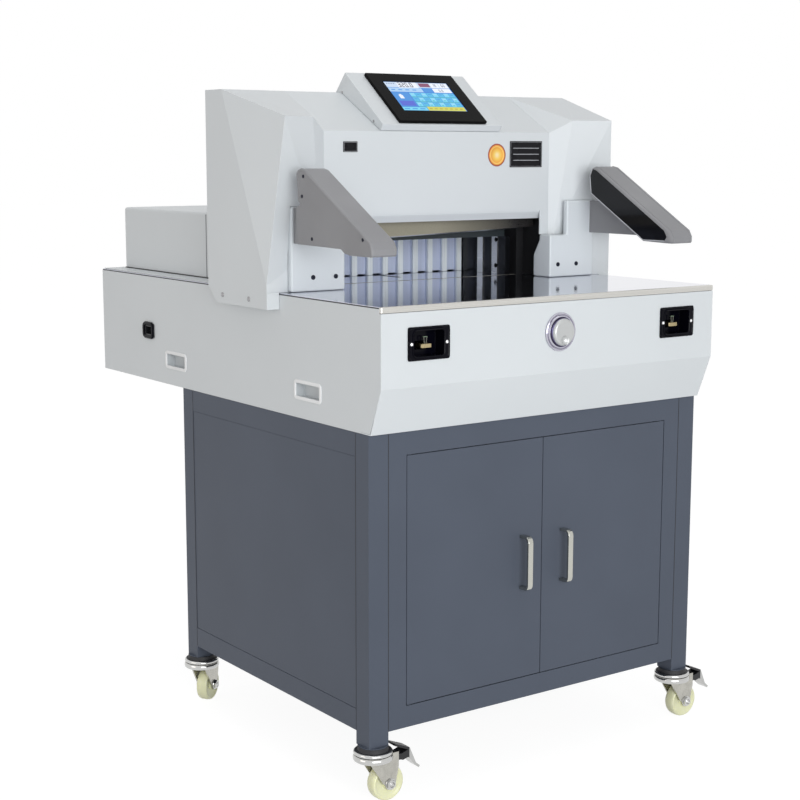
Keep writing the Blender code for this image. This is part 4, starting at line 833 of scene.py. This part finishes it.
def make_buttons():
    """Each cut button: a low brass bar on a stem, with a slim tapered loop that stands above it."""
    middle, wire = 0.0010, 0.0007
    for side, sign in SIDES:
        here = facing(at(sign * WELL_OFFSET + 0.003, 0.0130, 0.8476), TO_FRONT)
        bar = slab(rounded(0.0228, 0.0074, 0.0012, 0, 4, (0.0016, -0.0030)), -0.0072, 0.0, 0.0008)
        stem = slab(rounded(0.0168, 0.0052, 0.0010, 0, 4, (-0.0004, -0.0028)), -0.0190, -0.0068)
        parts = [(bar, here, brass), (stem, here, brass)]
        for way in (-1, 1):
            foot, tip = middle + 0.0016 * way, middle + 0.0034 * way
            rings = []
            for height, across in ((0.0005, foot), (0.0060, (foot + tip) / 2), (0.0125, tip)):
                rings.append([
                    Vector((across - wire, height, -0.0042)), Vector((across + wire, height, -0.0042)),
                    Vector((across + wire, height, -0.0022)), Vector((across - wire, height, -0.0022)),
                ])
            parts.append((skin(rings), here, prong_pale))
        cap = slab(rounded(0.0086, 0.0016, 0.0006, 0, 3, (middle, 0.0130)), -0.0046, -0.0018, 0.0003)
        parts.append((cap, here, prong_tip))
        button = piece(f"{side}_cut_bar", parts, f"{side}_button")
        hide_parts(f"{side}_cut_button")


make_buttons()


# Screws and bolts


def spaced(low, high, count, inset):
    """Places spread evenly between two edges, inset from both."""
    return [low + inset + (high - low - 2 * inset) * i / (count - 1) for i in range(count)]


def rear_screws(name, node, count, inset, radius, material):
    """Screws along the top and bottom edges of a rear panel."""
    low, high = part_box(node)
    across = spaced(low.x, high.x, count, inset)
    places = [Vector((x, high.y, z)) for x in across for z in (low.z + inset, high.z - inset)]
    screws(name, places, TO_BACK, radius, 0.0018, material)


def make_fasteners():
    cover_side, console_side, arm_side = 0.4331, 0.1501, 0.3914
    for side, sign in SIDES:
        out = (sign, 0, 0)
        front = [at(sign * x, 0.3304, 0.946) for x in (0.282, 0.3335)]
        screws(f"{side}_bracket_bolts", front, TO_FRONT, 0.0046, 0.0020, dark_bolt, make=socket_screw)
        flap = [at(sign * cover_side, 0.504, 0.9055), at(sign * cover_side, 0.403, 0.9045)]
        screws(f"{side}_flap_screws", flap, out, 0.0050, 0.0015, screw_steel)
        arm = ((0.2704, 1.1375), (0.2751, 1.1012), (0.2420, 1.0244), (0.0768, 1.0305))
        places = [at(sign * arm_side, y, z) for y, z in arm]
        screws(f"{side}_arm_screws", places, out, 0.0034, 0.0012, dark_bolt)
        console = [at(sign * console_side, 0.5047, 1.3003), at(sign * console_side, 0.393, 1.2417)]
        screws(f"{side}_console_screws", console, out, 0.0030, 0.0010, screw_steel)
    rear_screws("deck_rear_screws", "deck_rear_panel", 4, 0.018, 0.0038, bright_screw)
    rear_screws("stand_rear_screws", "stand_rear_panel", 3, 0.012, 0.0036, dark_bolt)


make_fasteners()


# Casters


def joint_place(name):
    """A joint's pivot and its axis."""
    for joint in frame["joints"]:
        if joint["name"] == name:
            return Vector(joint["pos_m"]), Vector(joint["axis"]).normalized()
    raise ValueError(name)


def make_casters():
    """Moulded wheels, their washers and nuts, and the turned rings and neck above each fork."""
    steps = 72
    washer = [(0.0045, 0.0176), (0.0108, 0.0176), (0.0112, 0.0180), (0.0108, 0.0188), (0.0045, 0.0188)]
    tread = [
        (0.0050, -0.0120), (0.0108, -0.0122), (0.0118, -0.0112), (0.0128, -0.0092), (0.0240, -0.0092),
        (0.0262, -0.0100), (0.0280, -0.0113), (0.0306, -0.0119), (0.0327, -0.0108), (0.0339, -0.0084),
        (0.0345, -0.0042), (0.0345, 0.0042), (0.0339, 0.0084), (0.0327, 0.0108), (0.0306, 0.0119),
        (0.0280, 0.0113), (0.0262, 0.0100), (0.0240, 0.0092), (0.0128, 0.0092), (0.0118, 0.0112),
        (0.0108, 0.0122), (0.0050, 0.0120),
    ]
    lower = [
        (0.0300, 0.0838), (0.0352, 0.0838), (0.0366, 0.0849), (0.0373, 0.0872), (0.0372, 0.0903),
        (0.0362, 0.0932), (0.0345, 0.0946), (0.0300, 0.0946),
    ]
    upper = [
        (0.0300, 0.0957), (0.0345, 0.0957), (0.0360, 0.0966), (0.0366, 0.0985), (0.0362, 0.1006),
        (0.0348, 0.1020), (0.0330, 0.1024), (0.0300, 0.1022),
    ]
    collar = [
        (0.0272, 0.1016), (0.0334, 0.1016), (0.0334, 0.1027), (0.0294, 0.1030), (0.0287, 0.1044),
        (0.0285, 0.1108), (0.0272, 0.1108),
    ]
    for corner in ("front_left", "front_right", "rear_left", "rear_right"):
        pivot, _ = joint_place(f"{corner}_swivel")
        hub, axle = joint_place(f"{corner}_roll")
        parts = [(lathe(tread, steps, loop=True), facing(hub, axle), nylon)]
        wheel = piece(f"{corner}_wheel_moulded", parts, f"{corner}_wheel")
        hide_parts(f"{corner}_caster_wheel")
        upright = Matrix.Translation((pivot.x, pivot.y, 0))
        parts = [(lathe(lower, steps, loop=True), upright, ring_steel)]
        for way in (-1, 1):
            end = facing(hub, axle * way)
            seat = end @ Matrix.Translation((0, 0, 0.0189))
            parts.append((lathe(washer, 32, loop=True), end, ring_steel))
            parts.append((hex_nut(0.0098, 0.0042, 0.0052), seat, ring_steel))
        piece(f"{corner}_swivel_ring", parts, f"{corner}_caster")
        parts = [
            (lathe(upper, steps, loop=True), upright, ring_steel),
            (lathe(collar, steps, loop=True), upright, rubber_and_painted_shade),
        ]
        piece(f"{corner}_fixed_ring", parts, "machine")


make_casters()


# Hand grips, painted shade at the hood's foot and joint and along the table's edge, and the inlet


def make_side_fittings():
    """Each side's grip rims, and dark strips of painted shade at the hood's foot, along the table plate's edge and
    across the hood's joint.
    """
    grip = (
        (-0.0012, 0.0), (0.0052, 0.0), (0.0060, 0.0006), (0.0052, 0.0018),
        (0.0020, 0.0026), (-0.0004, 0.0020), (-0.0012, 0.0008),
    )
    # Sections of the dark strips of painted shade: at the hood's foot, along the table plate's edge and across the
    # hood's joint
    hood_foot = ((0.3572, 0), (0.3600, 0), (0.3600, 0.0032), (0.3572, 0.0036))
    table_edge = ((0, 0), (0.0008, 0), (0.0008, 0.0016), (0, 0.0020))
    hood_joint = ((0.3568, 0.7050), (0.3576, 0.7050), (0.3576, 0.7070), (0.3568, 0.7070))
    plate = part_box("table_plate")
    levels = (TABLE + 0.004, TABLE + 0.08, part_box("rear_hood")[1].z - 0.004)
    for side, sign in SIDES:
        parts = []
        for y in (0.2379, 0.7587):
            rim = hoop(rounded(0.083, 0.0265, 0.003, 0, 5), grip)
            parts.append((rim, facing(at(sign * DECK_SIDE, y, 0.74425), (sign, 0, 0)), grip_white))
        piece(f"{side}_grip_rims", parts, "machine")
        # A strip of painted contact shade along the hood's foot
        rings = [
            [at(sign * x, y, TABLE + 0.0003 + z) for x, z in hood_foot] for y in (0.5625, 0.70, 0.85, 1.085)
        ]
        piece(f"{side}_hood_foot_shade", [(skin(rings), IDENTITY, rubber_and_painted_shade)], "machine")
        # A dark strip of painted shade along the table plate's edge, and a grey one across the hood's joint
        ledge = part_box(f"deck_{side}_side")[1].z
        edge = plate[1 if sign > 0 else 0].x
        rings = [
            [Vector((edge + sign * x, FRONT + y, ledge + z)) for x, z in table_edge]
            for y in (0.010, 0.30, 0.60, 0.85, 1.1085)
        ]
        parts = [(skin(rings), IDENTITY, seam_shade)]
        rings = [[at(sign * x, y, z) for x, y in hood_joint] for z in levels]
        parts.append((skin(rings), IDENTITY, joint_shade))
        piece(f"{side}_table_seam", parts, "machine")


def make_inlet():
    """The inlet's moulded shell and its two screws, on the deck's left side."""
    out = (-1, 0, 0)
    height = 0.799
    section = (
        (-0.0040, 0.001), (0.0040, 0.0006), (0.0044, 0.0030),
        (0.0026, 0.0052), (-0.0020, 0.0054), (-0.0036, 0.0040),
    )
    shell = hoop(rounded(0.040, 0.028, 0.007, 0, 5), section)
    here = facing(at(-DECK_SIDE, 0.881, height), out)
    piece("inlet_shell", [(shell, here, well_gloss)], "machine")
    places = [at(-DECK_SIDE - 0.0012, y, height) for y in (0.8592, 0.9028)]
    screws("inlet_screws", places, out, 0.0021, 0.0012, bright_screw)


make_side_fittings()
make_inlet()


# Trim of the photocell arms


def arm_points(shares, way):
    """Points of the arm seen from the side, from shares of its length and height."""
    return [Vector((way * (ARM_NOSE + ARM_LENGTH * y), ARM_HEIGHT * z, 0)) for y, z in shares]


def make_arm_trim():
    """Each arm's rim and sloped bezel round the window, and the bead on its outer edge."""
    slope = ((0.0, -0.0006), (0.40, -0.0012), (0.75, -0.0028), (1.0, -0.0059), (0.0, -0.0059))
    bead_section = (
        (-0.0052, -0.0003), (-0.0048, 0.0007), (-0.0026, 0.0012), (-0.0008, 0.0008),
        (0.0005, -0.0006), (0.0009, -0.0026), (0.0007, -0.0054), (-0.0003, -0.0060),
    )
    for side, sign in SIDES:
        place = facing(at(sign * ARM_INNER, 0, ARM_FOOT), (-sign, 0, 0))
        rim = hoop(arm_points(WINDOW_SHARES, -sign), round_section(0.0011, -0.0002 * sign), RIM_POINTS)
        piece(f"{side}_window_rim", [(rim, place, rim_grey)], "machine")
        rings = []
        for pair in BEZEL_SHARES:
            near, far = arm_points(pair, -sign)
            rings.append([near.lerp(far, share) + Vector((0, 0, level)) for share, level in slope])
        piece(f"{side}_window_bezel", [(skin(rings, loop=True), place, arm_paint)], "machine", 50)
        section = [(sign * far, high) for far, high in bead_section]
        bead = hoop(arm_points(EDGE_SHARES, sign), section, BEAD_POINTS)
        place = facing(at(sign * ARM_OUTER, 0, ARM_FOOT), (sign, 0, 0))
        piece(f"{side}_arm_bead", [(bead, place, arm_paint)], "machine", 50)


make_arm_trim()


# Blank plates and the plain foil seal on the head


def make_head_plates():
    here = facing(at(-0.2224, HEAD_FACE, 1.1917), TO_FRONT)
    plate = slab(rounded(0.0335, 0.0205, 0.0015, 0, 4), 0, 0.0009, 0.0003)
    section = ((-0.0004, -0.0002), (0.0004, -0.0002), (0.0003, 0.00025), (-0.0003, 0.00025))
    edge = hoop(rounded(0.0305, 0.0175, 0.001, 0.0009, 4), section)
    piece("head_plate", [(plate, here, plate_dark), (edge, here, rim_grey)], "machine")
    seal = lathe([
        (0.0233, 0), (0.0233, 0.0002), (0.0228, 0.0004), (0.0200, 0.0004), (0.0196, 0.0007),
        (0.0168, 0.0007), (0.0164, 0.0005), (0.004, 0.0006), (0.001, 0.0006),
    ], 72)
    piece("head_seal", [(seal, facing(SEAL_PLACE, TO_FRONT), seal_foil)], "machine")
    here = facing(at(0.2208, HEAD_FACE, 1.1772), TO_FRONT)
    panel = slab(rounded(0.0875, 0.054, 0.0012, 0, 4), 0, 0.0008, 0.0003)
    section = ((-0.0003, -0.0002), (0.0003, -0.0002), (0.0002, 0.0002), (-0.0002, 0.0002))
    edge = hoop(rounded(0.0835, 0.050, 0.001, 0.0008, 4), section)
    parts = [(panel, here, plate_dark), (edge, here, rim_grey)]
    for row in (-0.0125, 0.0, 0.0125):
        parts.append((slab(rounded(0.070, 0.0012, 0.0005, 0, 3, (0, row)), 0.0007, 0.0010), here, rim_grey))
    piece("head_panel", parts, "machine")


make_head_plates()


# Painted shade in the seams of the stand's posts


def make_seams():
    """Thin dark lines of painted shade up the inner edges of the posts, in front and on both sides."""
    half, front = 0.4042, 0.0419
    post_width, post_depth = 0.043, 0.041
    line, proud = 0.0007, 0.0003
    parts = []
    for _, sign in SIDES:
        x = sign * (half - post_width)
        out = front - proud
        outlines = [((x - line, front), (x + line, front), (x + line, out), (x - line, out))]
        near, far = sign * half, sign * (half + proud)
        for y in (0.042 + post_depth, 0.7317 - post_depth):
            outlines.append(((near, y - line), (far, y - line), (far, y + line), (near, y + line)))
        for outline in outlines:
            rings = [[at(across, along, z) for across, along in outline] for z in (0.1375, 0.4, 0.6895)]
            parts.append((skin(rings), IDENTITY, seam_shade))
    piece("post_seams", parts, "machine")


make_seams()


# Camera, lights and floor


def aim(obj, place, target):
    obj.location = place
    obj.rotation_mode = "QUATERNION"
    obj.rotation_quaternion = (Vector(target) - Vector(place)).to_track_quat("-Z", "Y")


def make_camera():
    """The camera of the photograph, solved from the deck's edges and corners."""
    place = (-1.96695, -2.75455, 1.1842)
    yaw = math.radians(35.557)
    pitch = math.radians(8.979)
    roll = math.radians(0.066)
    ahead = Vector((math.sin(yaw) * math.cos(pitch), math.cos(yaw) * math.cos(pitch), -math.sin(pitch)))
    level = Vector((math.cos(yaw), -math.sin(yaw), 0))
    above = level.cross(ahead)
    right = math.cos(roll) * level + math.sin(roll) * above
    up = math.cos(roll) * above - math.sin(roll) * level
    data = bpy.data.cameras.new("camera")
    data.lens = 71.0
    data.sensor_width = 36.0
    camera = bpy.data.objects.new("camera", data)
    bpy.context.scene.collection.objects.link(camera)
    turn = Matrix((right, up, -ahead)).transposed()
    camera.matrix_world = Matrix.Translation(place) @ turn.to_4x4()
    bpy.context.scene.camera = camera


def lamp(name, place, target, size, power, colour=(1, 1, 1)):
    data = bpy.data.lights.new(name, "AREA")
    data.shape = "RECTANGLE"
    data.size, data.size_y = size
    data.energy = power
    data.color = colour
    made = bpy.data.objects.new(name, data)
    bpy.context.scene.collection.objects.link(made)
    aim(made, place, target)


def seen_directly(tree):
    """1 for rays that show the backdrop: from the camera, or by way of metal or glass."""
    path = tree.nodes.new("ShaderNodeLightPath")
    total = path.outputs["Is Camera Ray"]
    for name in ("Is Glossy Ray", "Is Transmission Ray"):
        either = tree.nodes.new("ShaderNodeMath")
        either.operation = "MAXIMUM"
        tree.links.new(total, either.inputs[0])
        tree.links.new(path.outputs[name], either.inputs[1])
        total = either.outputs[0]
    return total


def make_world(level):
    """A white backdrop that lights the machine at the given level."""
    world = bpy.data.worlds.new("studio")
    bpy.context.scene.world = world
    world.use_nodes = True
    tree = world.node_tree
    background = tree.nodes["Background"]
    background.inputs["Color"].default_value = (1, 1, 1, 1)
    strength = tree.nodes.new("ShaderNodeMapRange")
    strength.inputs["To Min"].default_value = level
    strength.inputs["To Max"].default_value = 1.0
    tree.links.new(seen_directly(tree), strength.inputs["Value"])
    tree.links.new(strength.outputs["Result"], background.inputs["Strength"])


def make_floor():
    """A floor that shows nearly white with faint shadows, and lights the machine as a plain grey one."""
    shape = bmesh.new()
    bmesh.ops.create_grid(shape, x_segments=1, y_segments=1, size=30)
    mesh = bpy.data.meshes.new("floor")
    shape.to_mesh(mesh)
    shape.free()
    floor = bpy.data.objects.new("floor", mesh)
    bpy.context.scene.collection.objects.link(floor)
    made, tree, shader = blank("floor_white")
    tree.nodes.remove(shader)
    plain = tree.nodes.new("ShaderNodeBsdfDiffuse")
    plain.inputs["Color"].default_value = (0.7, 0.7, 0.7, 1)
    faint = tree.nodes.new("ShaderNodeBsdfDiffuse")
    faint.inputs["Color"].default_value = (0.18, 0.18, 0.18, 1)
    glow = tree.nodes.new("ShaderNodeEmission")
    glow.inputs["Strength"].default_value = 0.92
    both = tree.nodes.new("ShaderNodeAddShader")
    tree.links.new(faint.outputs[0], both.inputs[0])
    tree.links.new(glow.outputs[0], both.inputs[1])
    choice = tree.nodes.new("ShaderNodeMixShader")
    tree.links.new(seen_directly(tree), choice.inputs[0])
    tree.links.new(plain.outputs[0], choice.inputs[1])
    tree.links.new(both.outputs[0], choice.inputs[2])
    tree.links.new(choice.outputs[0], tree.nodes["Material Output"].inputs["Surface"])
    mesh.materials.append(made)


make_camera()
make_world(0.45)
make_floor()
lamp("key", (-1.5, -4.9, 1.5), (0, 0, 0.9), (3.5, 2.5), 150, (0.97, 0.99, 1.0))
lamp("fill", (-5.0, 0.0, 1.5), (0, 0, 0.8), (2.4, 2.4), 28, (1.0, 0.92, 0.84))
lamp("top", (0, 0.4, 4.5), (0, 0, 1), (3, 3), 26)
bpy.context.scene.view_settings.view_transform = "Standard"
